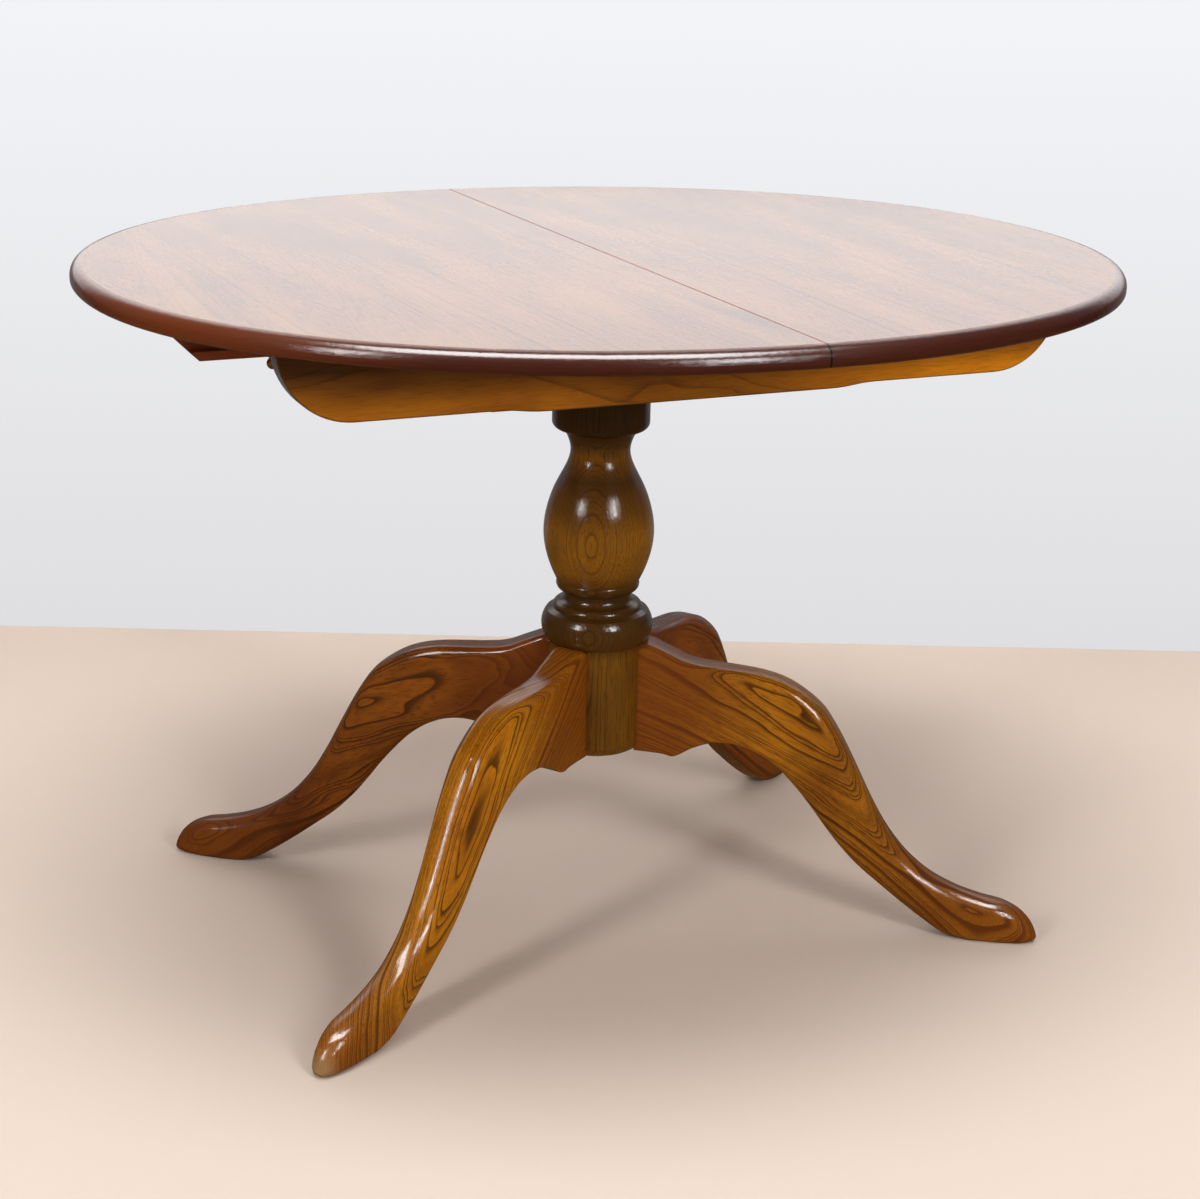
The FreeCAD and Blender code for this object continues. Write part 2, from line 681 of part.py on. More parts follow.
def make_frame():
    for where, side in SIDES.items():
        x = f"{side} * cross_rail_spacing / 2"
        name = f"cross_rail_{where}"
        rail = board(name + "_board", "cross_rail_width", "2 * rail_face", "cross_rail_thick",
                     x, "0", "cross_rail_bottom")
        holes = dowels(name + "_hole", ("frame_dowels",))
        holes.append(screw_group(name + "_screw_holes", plate_screw_spots(),
                                 "plate_screw_length", as_holes=True))
        keep(name, cut(name, rail, holes))

        name = f"end_rail_{where}"
        rail = board(name + "_board", "end_rail_thick", "2 * rail_face", "end_rail_depth",
                     f"{side} * end_rail_place", "0", "tray_top")
        keep(name, cut(name, rail, dowels(name + "_hole", ("end_rail_dowels",))))

    keep("frame_dowels", gather("frame_dowels", dowels("frame_dowel", ("frame_dowels",))))
    keep("end_rail_dowels", gather("end_rail_dowels", dowels("end_dowel", ("end_rail_dowels",))))
    keep("tray", board("tray", "tray_length", "2 * rail_face", "tray_thick", "0", "0", "tray_bottom"))

    batten_length = "(tray_length - cross_rail_spacing - cross_rail_width) / 2"
    batten_x = "(tray_length + cross_rail_spacing + cross_rail_width) / 4"
    battens = [board(f"batten_{i}_{j}", batten_length, "batten_width", "batten_width",
                     f"{i} * {batten_x}", f"{j} * (rail_face - batten_width / 2)",
                     "tray_bottom - batten_width")
               for i in SIDES.values() for j in ROWS.values()]
    keep("tray_battens", gather("tray_battens", battens))

    plate = board("top_plate_board", "plate_length", "plate_width", "plate_thick",
                  "0", "0", "plate_bottom")
    socket = rod("tenon_socket", "tenon_radius + joint_gap", "plate_thick", "z",
                 "0", "0", "plate_bottom")
    holes = screw_group("plate_screw_holes", plate_screw_spots(), "plate_screw_length",
                        as_holes=True)
    keep("top_plate", cut("top_plate", plate, [socket, holes]))
    keep("plate_screws", screw_group("plate_screws", plate_screw_spots(), "plate_screw_length"))

    runner_screws = []
    for where, row in ROWS.items():
        make_side_rail(f"side_rail_{where}", row)
        name = f"runner_{where}"
        strip = board(name + "_strip", "runner_length", "runner_width", "runner_depth", "0",
                      f"{row} * (runner_face + runner_width / 2)",
                      "slide_level - runner_depth / 2")
        tongue = board(name + "_tongue", "runner_length", "tongue_reach + runner_width / 2",
                       "tongue_depth", "0",
                       f"{row} * (tongue_face + (tongue_reach + runner_width / 2) / 2)",
                       "slide_level - tongue_depth / 2")
        holes = screw_group(name + "_screw_holes", runner_screw_spots(row),
                            "runner_screw_length", as_holes=True)
        keep(name, cut(name, fuse(name + "_whole", [strip, tongue]), [holes]))
        runner_screws += runner_screw_spots(row)
    keep("runner_screws", screw_group("runner_screws", runner_screws, "runner_screw_length"))

    stop_width = "(stop_width - stop_side_gap)"
    fixed = [board(f"fixed_stop_{i}_{j}", "end_rail_thick", stop_width,
                   "under_top - stop_head_gap - leaf_top_level", f"{i} * end_rail_place",
                   f"{j} * (bearer_inner_face - stop_side_gap - {stop_width} / 2)",
                   "leaf_top_level")
             for i in SIDES.values() for j in ROWS.values()]
    keep("fixed_stops", gather("fixed_stops", fixed))


# Top halves and their slides


# The oval's exponent: 2 is an ellipse, more is fuller.
OVAL_FULLNESS = 2.08
POINTS_IN_QUARTER = 8


def half_oval(side):
    """One half of the oval top, a little fuller than an ellipse."""
    half_length, half_width = mm("half_top"), mm("half_width")
    seam = mm("seam_gap") / 2
    lean = math.acos((seam / half_length) ** (OVAL_FULLNESS / 2))
    rim = []
    for i in range(-POINTS_IN_QUARTER, POINTS_IN_QUARTER + 1):
        angle = lean * i / POINTS_IN_QUARTER
        x = half_length * abs(math.cos(angle)) ** (2 / OVAL_FULLNESS)
        y = half_width * abs(math.sin(angle)) ** (2 / OVAL_FULLNESS)
        rim.append((side * x, math.copysign(y, angle)))
    return [through(rim), line(rim[-1], rim[0])]


def bearer_screw_spots(side, row):
    spots = []
    for share in BEARER_SCREW_SHARES:
        x = side * (mm("bearer_inner_end") + share * mm("bearer_length"))
        spots.append((x, row * mm("bearer_middle"), mm("bearer_bottom"), UP))
    return spots


def bolt_screw_spots(side):
    """The two screws of a bolt plate: on the front bearer at the left, the back at the right."""
    x, level = side * mm("bolt_place"), mm("bearer_bottom") - mm("bolt_plate_thick")
    return [(x, side * (mm("bearer_inner_face") + share * mm("bearer_width")), level, UP)
            for share in BOLT_SCREW_SHARES]


def seam_dowel_rods(prefix, radius, reach):
    return [rod(f"{prefix}_{i}", radius, f"2 * ({reach})", "x", f"-({reach})",
                f"{i} * seam_dowel_spacing", "under_top + top_thick / 2")
            for i in (-1, 0, 1)]


def make_top(where, side):
    name = f"top_{where}"
    body = doc.addObject("PartDesign::Body", name + "_body")
    outline = sketch_on(body, "XY_Plane", name + "_outline", half_oval(side))
    bind(outline, "AttachmentOffset.Base.z", "under_top")
    solid = pad(body, outline, "top_thick")
    level, half = mm("under_top") + mm("top_thick") / 2, mm("half_top") / 2

    def rim_edge(edge):
        box = edge.BoundBox
        return box.XLength > half and box.ZLength < mm("top_thick") / 2

    rounded = fillet(body, solid, "top_edge_round",
                     lambda edge: rim_edge(edge) and edge.BoundBox.ZMin > level)
    fillet(body, rounded, "top_under_round",
           lambda edge: rim_edge(edge) and edge.BoundBox.ZMax < level)
    holes = [screw_group(f"{name}_screw_holes_{row}", bearer_screw_spots(side, row),
                         "bearer_screw_length", as_holes=True)
             for row in ROWS.values()]
    gap = "slide_gap" if where == "left" else "joint_gap"
    holes += seam_dowel_rods(f"{name}_socket", f"seam_dowel_radius + {gap}",
                             f"seam_dowel_reach + {gap}")
    keep(name, cut(name, body, holes))


def make_bearer(where, side, place, row):
    name = f"bearer_{where}_{place}"
    inner, outer = mm("bearer_inner_end"), mm("bearer_outer_end")
    bottom, top = mm("bearer_bottom"), mm("under_top")
    outline = corners([(side * inner, bottom), (side * inner, top), (side * outer, top),
                       (side * (outer - mm("bearer_depth")), bottom)])
    body = doc.addObject("PartDesign::Body", name + "_body")
    sketch = sketch_on(body, "XZ_Plane", name + "_outline", outline)
    pad(body, sketch, "bearer_width", both_ways=True)
    bind(body, "Placement.Base.y", f"{row} * bearer_middle")
    groove_middle = "(bearer_outer_face + tongue_face - slide_gap) / 2"
    groove = board(name + "_groove", "bearer_outer_end * 2",
                   "bearer_outer_face - tongue_face + slide_gap", "tongue_depth + 2 * slide_gap",
                   f"{side} * bearer_outer_end / 2", f"{row} * {groove_middle}",
                   "slide_level - tongue_depth / 2 - slide_gap")
    holes = [groove, screw_group(name + "_screw_holes", bearer_screw_spots(side, row),
                                 "bearer_screw_length", as_holes=True)]
    if side == row:
        holes.append(screw_group(name + "_bolt_screw_holes", bolt_screw_spots(side),
                                 "bolt_screw_length", mm("small_screw_share"), as_holes=True))
    keep(name, cut(name, body, holes))


def make_slides():
    for where, side in SIDES.items():
        make_top(where, side)
        for place, row in ROWS.items():
            make_bearer(where, side, place, row)
        spots = [s for row in ROWS.values() for s in bearer_screw_spots(side, row)]
        name = f"bearer_screws_{where}"
        keep(name, screw_group(name, spots, "bearer_screw_length"))
        blocks = [board(f"stop_{where}_{row}", "stop_length", "stop_width",
                        "under_top - slide_level + tongue_depth / 2",
                        f"{side} * (stop_outer - stop_length / 2)",
                        f"{row} * (bearer_inner_face - stop_width / 2)",
                        "slide_level - tongue_depth / 2")
                  for row in ROWS.values()]
        keep(f"stop_blocks_{where}", gather(f"stop_blocks_{where}", blocks))
    pegs = seam_dowel_rods("seam_dowel", "seam_dowel_radius", "seam_dowel_reach")
    keep("seam_dowels", gather("seam_dowels", pegs))


# Stored leaf and its hinges


def hinge_screw_spots(upwards):
    """Four screws in each hinge, two in each plate, for the plates of one leaf half."""
    level = mm("leaf_upper_bottom") if upwards else mm("leaf_lower_top")
    direction = UP if upwards else DOWN
    edge, wing = mm("leaf_half_length") / 2, mm("hinge_wing")
    spots = []
    for i in (-1, 0, 1):
        for share in HINGE_SCREW_SHARES:
            y = i * mm("hinge_spacing") + share * mm("hinge_length")
            spots.append((-edge + wing * HINGE_SCREW_WING_SHARE, y, level, direction))
    return spots


def make_leaf_half(name, bottom, hinge_bottom, upwards):
    plank = board(name + "_board", "leaf_half_length", "leaf_width", "top_thick", "0", "0", bottom)
    tools = [board(f"{name}_mortise_{i}", "hinge_wing + joint_gap", "hinge_length + 2 * joint_gap",
                   "hinge_plate_thick", "-leaf_half_length / 2 + (hinge_wing + joint_gap) / 2",
                   f"{i} * hinge_spacing", hinge_bottom)
             for i in (-1, 0, 1)]
    tools.append(screw_group(name + "_screw_holes", hinge_screw_spots(upwards),
                             "hinge_screw_length", mm("small_screw_share"), as_holes=True))
    keep(name, cut(name, plank, tools))


def make_hinge_half(name, plate_bottom, upwards):
    """One plate of each hinge, with its knuckles round the pin."""
    third = "(hinge_length - 2 * hinge_knuckle_gap) / 3"
    starts = [f"-({third}) / 2"] if upwards else ["-hinge_length / 2", f"hinge_length / 2 - {third}"]
    plates, bores = [], []
    for i in (-1, 0, 1):
        middle = f"{i} * hinge_spacing"
        plates.append(board(f"{name}_plate_{i}", "hinge_wing", "hinge_length",
                            "hinge_plate_thick", "-leaf_half_length / 2 + hinge_wing / 2",
                            middle, plate_bottom))
        bores.append(rod(f"{name}_bore_{i}", "hinge_pin_radius + joint_gap", "hinge_length",
                         "y", "-hinge_line", f"{middle} - hinge_length / 2", "hinge_level"))
        for k, start in enumerate(starts):
            plates.append(rod(f"{name}_knuckle_{i}_{k}", "hinge_knuckle_radius", third, "y",
                              "-hinge_line", f"{middle} + {start}", "hinge_level"))
            plates.append(board(f"{name}_web_{i}_{k}", "hinge_line - leaf_half_length / 2", third,
                                "hinge_plate_thick", "-(hinge_line + leaf_half_length / 2) / 2",
                                f"{middle} + {start} + ({third}) / 2", plate_bottom))
    bores.append(screw_group(name + "_screw_holes", hinge_screw_spots(upwards),
                             "hinge_screw_length", mm("small_screw_share"), as_holes=True))
    keep(name, cut(name, fuse(name + "_whole", plates), bores))


def make_leaf():
    make_leaf_half("leaf_lower", "leaf_lower_bottom", "leaf_lower_top - hinge_plate_thick", False)
    make_leaf_half("leaf_upper", "leaf_upper_bottom", "leaf_upper_bottom", True)
    make_hinge_half("leaf_hinge_lower", "leaf_lower_top - hinge_plate_thick", False)
    make_hinge_half("leaf_hinge_upper", "leaf_upper_bottom", True)
    pins = [rod(f"hinge_pin_{i}", "hinge_pin_radius", "hinge_length", "y", "-hinge_line",
                f"{i} * hinge_spacing - hinge_length / 2", "hinge_level")
            for i in (-1, 0, 1)]
    keep("leaf_hinge_pins", gather("leaf_hinge_pins", pins))
    spots = hinge_screw_spots(True) + hinge_screw_spots(False)
    keep("leaf_hinge_screws", screw_group("leaf_hinge_screws", spots, "hinge_screw_length",
                                          mm("small_screw_share")))


# Brass bolts


def ball(name, radius, x, y, z):
    piece = doc.addObject("Part::Sphere", name)
    bind(piece, "Radius", radius)
    bind(piece, "Placement.Base.x", x)
    bind(piece, "Placement.Base.y", y)
    bind(piece, "Placement.Base.z", z)
    return piece


def out_from(side, start, length):
    """Where a rod along +Y starts, to run from start outwards on the given side."""
    return start if side > 0 else f"-({start}) - ({length})"


def make_bolts():
    keeps = []
    for where, side in SIDES.items():
        x = f"{side} * bolt_place"
        shank_length = "(bolt_tip - knob_place)"
        shank = rod(f"bolt_shank_{where}", "bolt_radius", shank_length, "y", x,
                    out_from(side, "knob_place", shank_length), "bolt_level")
        knob = ball(f"bolt_knob_{where}", "knob_radius", x, f"{side} * knob_place", "bolt_level")
        keep(f"bolt_{where}", fuse(f"bolt_{where}", [shank, knob]))

        name = f"bolt_barrel_{where}"
        plate_end = "barrel_start + barrel_length"
        plate_length = f"({plate_end} - bearer_inner_face)"
        plate = board(name + "_plate", "bolt_plate_width", plate_length, "bolt_plate_thick", x,
                      f"{side} * ({plate_end} - {plate_length} / 2)",
                      "bearer_bottom - bolt_plate_thick")
        web = board(name + "_web", "2 * barrel_radius", "barrel_length", "bolt_drop",
                    x, f"{side} * (barrel_start + barrel_length / 2)", "bolt_level")
        tube = rod(name + "_tube", "barrel_radius", "barrel_length", "y", x,
                   out_from(side, "barrel_start", "barrel_length"), "bolt_level")
        bore = rod(name + "_bore", "bolt_radius + barrel_gap", "barrel_length", "y", x,
                   out_from(side, "barrel_start", "barrel_length"), "bolt_level")
        holes = screw_group(name + "_screw_holes", bolt_screw_spots(side), "bolt_screw_length",
                            mm("small_screw_share"), as_holes=True)
        keep(name, cut(name, fuse(name + "_whole", [plate, web, tube]), [bore, holes]))
        name = f"bolt_screws_{where}"
        keep(name, screw_group(name, bolt_screw_spots(side), "bolt_screw_length",
                               mm("small_screw_share")))

        socket_middle = f"{side} * (keep_face + keep_length / 2)"
        block = board(f"keep_block_{where}", "keep_side", "keep_length", "keep_side", x,
                      socket_middle, "bolt_level - keep_side / 2")
        socket = rod(f"keep_socket_{where}", "bolt_radius + keep_gap", "keep_length", "y", x,
                     out_from(side, "keep_face", "keep_length"), "bolt_level")
        keeps.append(cut(f"keep_{where}", block, [socket]))
    keep("bolt_keeps", gather("bolt_keeps", keeps))


make_column()
for leg_name, leg_degrees in leg_directions().items():
    make_leg(leg_name, leg_degrees)
make_frame()
make_slides()
make_leaf()
make_bolts()
doc.recompute()

for thing in doc.Objects:
    if "Invalid" in thing.State or "Error" in thing.State:
        raise RuntimeError(f"{thing.Name} failed: {thing.State}")
os.makedirs("parts", exist_ok=True)
for node, piece in nodes.items():
    shape = piece.Shape
    if shape.isNull() or not shape.isValid() or not shape.Solids:
        raise RuntimeError(f"{node} has no valid shape")
    shape.exportStep(f"parts/{node}.step")
    print(node, len(shape.Solids), "solids,", round(shape.Volume), "mm3")
print(len(nodes), "nodes")
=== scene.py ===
# %% [markdown]
# # An extending dining table in stained elm
#
# The table has an oval top in two halves, a shallow frame, a turned column and four sabre
# legs. Its pieces are already modelled as solids, so this lesson is mostly about surfaces:
# how to make wood that looks cut from a real trunk, how to polish it, and how to light it.
# Only the legs get new meshes, because a spokeshave rounds them more than a simple fillet.

# %% Load the table
import math

import bpy
from mathutils import Matrix, Vector


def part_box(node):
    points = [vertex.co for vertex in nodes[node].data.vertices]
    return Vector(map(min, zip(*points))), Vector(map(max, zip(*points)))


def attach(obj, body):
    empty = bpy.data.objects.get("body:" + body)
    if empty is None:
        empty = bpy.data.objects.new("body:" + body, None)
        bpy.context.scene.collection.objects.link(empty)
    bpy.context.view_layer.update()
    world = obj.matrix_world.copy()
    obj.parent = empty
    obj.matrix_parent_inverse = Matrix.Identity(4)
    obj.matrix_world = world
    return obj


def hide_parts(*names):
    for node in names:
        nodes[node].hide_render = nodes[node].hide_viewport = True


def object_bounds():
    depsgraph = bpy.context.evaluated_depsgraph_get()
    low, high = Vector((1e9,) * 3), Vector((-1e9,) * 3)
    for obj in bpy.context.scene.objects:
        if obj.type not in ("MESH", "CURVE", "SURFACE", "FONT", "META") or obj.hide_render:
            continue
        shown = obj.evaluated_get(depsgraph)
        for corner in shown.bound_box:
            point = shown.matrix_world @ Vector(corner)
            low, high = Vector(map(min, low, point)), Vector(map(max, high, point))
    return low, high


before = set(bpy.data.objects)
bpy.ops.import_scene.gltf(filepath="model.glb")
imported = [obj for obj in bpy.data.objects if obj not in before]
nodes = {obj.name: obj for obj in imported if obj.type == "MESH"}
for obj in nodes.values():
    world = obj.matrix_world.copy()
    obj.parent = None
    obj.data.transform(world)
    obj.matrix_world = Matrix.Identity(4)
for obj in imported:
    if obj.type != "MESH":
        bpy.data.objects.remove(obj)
solid_low, solid_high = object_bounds()
table_size = solid_high - solid_low
MM = 0.001
print(len(nodes), "pieces,", [round(side, 3) for side in table_size], "m")

# %% [markdown]
# ## Colours and nodes
#
# Paint charts and picture editors give colours as sRGB hex codes, but shaders reckon in
# linear light. One function turns the first into the second. A second function adds a
# node to a material and fills its inputs, either with values or with links. A ramp node,
# which turns one value into another, also gets its stops there.

# %% Two helpers
# A new ramp has this many stops already.
NEW_RAMP_STOPS = 2


def linear(code):
    """An sRGB hex code as a linear colour, by the numbers of the sRGB standard."""
    channels = [int(code[i:i + 2], 16) / 255 for i in (1, 3, 5)]
    return tuple(c / 12.92 if c <= 0.04045 else ((c + 0.055) / 1.055) ** 2.4
                 for c in channels) + (1.0,)


def add(tree, kind, inputs=None, stops=(), **settings):
    """A new node. Each input is a value or another's output, each stop a place and a grey."""
    made = tree.nodes.new("ShaderNode" + kind)
    for name, value in settings.items():
        setattr(made, name, value)
    for i, (place, level) in enumerate(stops):
        elements = made.color_ramp.elements
        stop = elements[i] if i < NEW_RAMP_STOPS else elements.new(place)
        stop.position = place
        stop.color = (level, level, level, 1)
    for key, value in (inputs or {}).items():
        if isinstance(value, bpy.types.NodeSocket):
            tree.links.new(value, made.inputs[key])
        else:
            made.inputs[key].default_value = value
    return made


print("mid grey is", [round(c, 3) for c in linear("#808080")])

# %% [markdown]
# ## Camera
#
# A camera is matched to a picture by its height, its distance, its tilt and its lens. The
# lines of the oval, the four feet and the column fix them all at once, so they are kept
# here as plain named values: how far round the table the camera is turned, how far down it
# looks, its small roll, its place in metres and its focal length.

# %% Place the camera
CAMERA_AZIMUTH = math.radians(-23.67)
CAMERA_PITCH = math.radians(18.18)
CAMERA_ROLL = math.radians(1.237)
CAMERA_PLACE = Vector((-0.9333, -2.1364, 1.1122))
FOCAL_LENGTH_MM = 68.57
SENSOR_WIDTH_MM = 36.0

back = Vector((math.sin(CAMERA_AZIMUTH) * math.cos(CAMERA_PITCH),
               -math.cos(CAMERA_AZIMUTH) * math.cos(CAMERA_PITCH),
               math.sin(CAMERA_PITCH)))
level_right = (-back).cross(Vector((0, 0, 1))).normalized()
level_up = level_right.cross(-back)
right = math.cos(CAMERA_ROLL) * level_right + math.sin(CAMERA_ROLL) * level_up
up = -math.sin(CAMERA_ROLL) * level_right + math.cos(CAMERA_ROLL) * level_up

lens = bpy.data.cameras.new("camera")
lens.lens = FOCAL_LENGTH_MM
lens.sensor_width = SENSOR_WIDTH_MM
camera = bpy.data.objects.new("camera", lens)
bpy.context.collection.objects.link(camera)
axes = Matrix((right, up, back)).transposed().to_4x4()
camera.matrix_world = Matrix.Translation(CAMERA_PLACE) @ axes
bpy.context.scene.camera = camera
print("camera stands", round(CAMERA_PLACE.xy.length, 2), "m from the column")

# %% [markdown]
# ## Floor and wall
#
# Polished wood shows what stands round it, so even a plain studio matters. The top mirrors
# the upper middle of the wall, so that part is bright in reflections, and the wall fades
# out to the sides, or the ends of the rim would turn grey. The legs and the column mirror
# the floor, which stays dim in reflections, or it would grey the stain. The wall and the
# floor are one-sided: a camera behind or below looks through them, so the table can be seen
# from every side. The wall casts no shadow, and far from the table the floor shows its
# plain colour, so that the floor stays light from behind too.

# %% Matt paint
EMULSION_ROUGHNESS = 0.8


def paint(name, colour):
    """Matt emulsion paint."""
    material = bpy.data.materials.new(name)
    material.use_nodes = True
    surface = material.node_tree.nodes["Principled BSDF"]
    surface.inputs["Base Color"].default_value = linear(colour)
    surface.inputs["Roughness"].default_value = EMULSION_ROUGHNESS
    return material


def from_front(tree, shader):
    """Shows the shader on a sheet's front, and leaves its back clear."""
    clear = add(tree, "BsdfTransparent")
    behind = add(tree, "NewGeometry").outputs["Backfacing"]
    both = add(tree, "MixShader", {0: behind, 1: shader, 2: clear.outputs[0]})
    tree.links.new(both.outputs[0], tree.nodes["Material Output"].inputs["Surface"])


print("the studio is painted, with a roughness of", EMULSION_ROUGHNESS)

# %% Paint of the floor
FLOOR_COLOUR = "#DFCFC1"
FLOOR_MIRRORED = "#5E4426"
LIT_TO, PLAIN_FROM = 1.3, 2.0


def dim_in_polish(material, colour, mirrored_colour):
    """Lit paint near the table, its plain colour far off, and another one in polish."""
    tree = material.node_tree
    rays = add(tree, "LightPath").outputs
    place = add(tree, "TexCoord").outputs["Object"]
    out = add(tree, "VectorMath", {0: place}, operation="LENGTH").outputs["Value"]
    far = add(tree, "MapRange", {0: out, 1: LIT_TO, 2: PLAIN_FROM, 3: 0.0, 4: 1.0})
    seen_far = add(tree, "Math", {0: far.outputs[0], 1: rays["Is Camera Ray"]},
                   operation="MULTIPLY")
    lit = tree.nodes["Principled BSDF"].outputs[0]
    plain = add(tree, "Emission", {"Color": linear(colour), "Strength": 1.0}).outputs[0]
    seen = add(tree, "MixShader", {0: seen_far.outputs[0], 1: lit, 2: plain}).outputs[0]
    dim = add(tree, "Emission", {"Color": linear(mirrored_colour), "Strength": 1.0}).outputs[0]
    either = add(tree, "MixShader", {0: rays["Is Glossy Ray"], 1: seen, 2: dim})
    from_front(tree, either.outputs[0])
    return material


floor_paint = dim_in_polish(paint("floor_paint", FLOOR_COLOUR), FLOOR_COLOUR, FLOOR_MIRRORED)
print("the floor is lit out to", LIT_TO, "m and plain beyond", PLAIN_FROM, "m")

# %% Paint of the wall
# Heights, and distances to the side of the column, are in metres.
# The wall is paler towards the top: painted light falling on its upper part.
WALL_LOW, WALL_HIGH = "#DFDEE0", "#F4F6F9"
PALEST_FROM = 1.0
# Polish mirrors the wall above these heights brighter and below them dimmer than a camera sees
# it: painted light and shade on the wall.
SHINE_FROM, SHINE_FULL = 0.73, 0.77
SHINE_LOW, SHINE_HIGH = 0.24, 1.50
SHINE_WIDE, SHINE_GONE = 0.85, 1.60
SHINE_LEFT = 0.06
beside = level_right.to_2d()


def bright_in_polish(material):
    """A camera sees the wall paler towards the top, and polish mirrors its upper part brighter
    still: painted light on the upper wall.
    """
    tree = material.node_tree
    rays = add(tree, "LightPath").outputs
    place = add(tree, "TexCoord").outputs["Object"]
    level = add(tree, "SeparateXYZ", {0: place}).outputs["Z"]
    share = add(tree, "MapRange", {0: level, 1: 0.0, 2: PALEST_FROM, 3: 0.0, 4: 1.0})
    colour = add(tree, "Mix", {0: share.outputs[0], 6: linear(WALL_LOW), 7: linear(WALL_HIGH)},
                 data_type="RGBA")
    shine = add(tree, "MapRange", {0: level, 1: SHINE_FROM, 2: SHINE_FULL, 3: SHINE_LOW,
                                   4: SHINE_HIGH})
    aside = add(tree, "VectorMath", {0: place, 1: beside.to_3d()}, operation="DOT_PRODUCT")
    far = add(tree, "Math", {0: aside.outputs["Value"]}, operation="ABSOLUTE")
    fade = add(tree, "MapRange", {0: far.outputs[0], 1: SHINE_WIDE, 2: SHINE_GONE, 3: 1.0,
                                  4: SHINE_LEFT})
    mirrored = add(tree, "Math", {0: shine.outputs[0], 1: fade.outputs[0]}, operation="MULTIPLY")
    strength = add(tree, "Mix", {0: rays["Is Glossy Ray"], 2: 1.0, 3: mirrored.outputs[0]})
    glow = add(tree, "Emission", {"Color": colour.outputs[2], "Strength": strength.outputs[0]})
    seen = add(tree, "Math", {0: rays["Is Camera Ray"], 1: rays["Is Glossy Ray"]},
               operation="MAXIMUM")
    lit = tree.nodes["Principled BSDF"].outputs[0]
    front = add(tree, "MixShader", {0: seen.outputs[0], 1: lit, 2: glow.outputs[0]})
    from_front(tree, front.outputs[0])
    return material


wall_paint = bright_in_polish(paint("wall_paint", WALL_HIGH))
print("the wall is bright in polish above", SHINE_FULL, "m")

# %% Floor and wall
WALL_BEHIND = 0.87
WALL_HEIGHT = 3.0
STAGE_REACH = 6.0
away = (-back).to_2d().normalized()


def stage_sheet(name, corners, material):
    """A flat four-cornered piece of the studio."""
    mesh = bpy.data.meshes.new(name)
    mesh.from_pydata(corners, [], [(0, 1, 2, 3)])
    mesh.materials.append(material)
    sheet = bpy.data.objects.new(name, mesh)
    bpy.context.collection.objects.link(sheet)
    return sheet


floor_corners = [((away * i + beside * j) * STAGE_REACH).to_3d()
                 for i, j in ((-1, -1), (-1, 1), (1, 1), (1, -1))]
stage_sheet("floor", floor_corners, floor_paint)
foot_left = (away * WALL_BEHIND - beside * STAGE_REACH).to_3d()
foot_right = (away * WALL_BEHIND + beside * STAGE_REACH).to_3d()
rise = Vector((0, 0, WALL_HEIGHT))
wall = stage_sheet("wall", [foot_left, foot_right, foot_right + rise, foot_left + rise],
                   wall_paint)
wall.visible_shadow = False
print("wall stands", WALL_BEHIND, "m behind the column")

# %% [markdown]
# ## Lamps and sky
#
# Two tall soft lamps in front, one to each side, make the long highlights that polish
# shows. A wide lamp above gives the top and the floor most of their light but isn't
# mirrored, and another one below it is mirrored only, so the bright line along the rim can
# be set without lighting the floor. The sky stands for the rest of the room. Its light is
# weak and a little warm, as it comes off the floor and the wood, and polish sees it dimmer
# still.

# %% Four lamps
# Each line gives a lamp's angle round the table and its angle above the level in degrees, its
# distance, width and height in metres, and its power in watts.
LAMPS = {
    "lamp_left": (-155, 24, 3.2, 0.5, 1.2, 33),
    "lamp_right": (-79, 24, 3.2, 0.5, 1.2, 41),
    "lamp_above": (-115, 78, 3.2, 2.0, 1.2, 74),
    "lamp_mirrored": (-114, 70, 2.55, 2.6, 1.3, 190),
}
MIDDLE_OF_TABLE = Vector((0, 0, 0.45))


def soft_lamp(name, azimuth, elevation, distance, width, height, power):
    """A rectangular lamp that faces the middle of the table."""
    data = bpy.data.lights.new(name, "AREA")
    data.shape = "RECTANGLE"
    data.size, data.size_y = width, height
    data.energy = power
    lamp = bpy.data.objects.new(name, data)
    bpy.context.collection.objects.link(lamp)
    a, e = math.radians(azimuth), math.radians(elevation)
    towards = Vector((math.cos(a) * math.cos(e), math.sin(a) * math.cos(e), math.sin(e)))
    lamp.location = MIDDLE_OF_TABLE + towards * distance
    lamp.rotation_euler = towards.to_track_quat("Z", "Y").to_euler()
    return lamp


lamps = {name: soft_lamp(name, *line) for name, line in LAMPS.items()}
lamps["lamp_above"].visible_glossy = False
lamps["lamp_mirrored"].visible_diffuse = False
print(len(lamps), "lamps")

# %% Sky
FILL_COLOUR = "#EBCFAE"
FILL_STRENGTH = 0.15
ROOM_STRENGTH = 0.06

world = bpy.data.worlds.new("sky")
world.use_nodes = True
tree = world.node_tree
rays = add(tree, "LightPath").outputs
room = add(tree, "Mix", {0: rays["Is Glossy Ray"], 2: FILL_STRENGTH, 3: ROOM_STRENGTH})
strength = add(tree, "Mix", {0: rays["Is Camera Ray"], 2: room.outputs[0], 3: 1.0})
shade = add(tree, "Mix", {0: rays["Is Camera Ray"], 6: linear(FILL_COLOUR),
                          7: linear(WALL_HIGH)}, data_type="RGBA")
tree.links.new(shade.outputs[2], tree.nodes["Background"].inputs["Color"])
tree.links.new(strength.outputs[0], tree.nodes["Background"].inputs["Strength"])
bpy.context.scene.world = world
bpy.context.scene.view_settings.view_transform = "Standard"
print("the rest of the room has a strength of", FILL_STRENGTH)

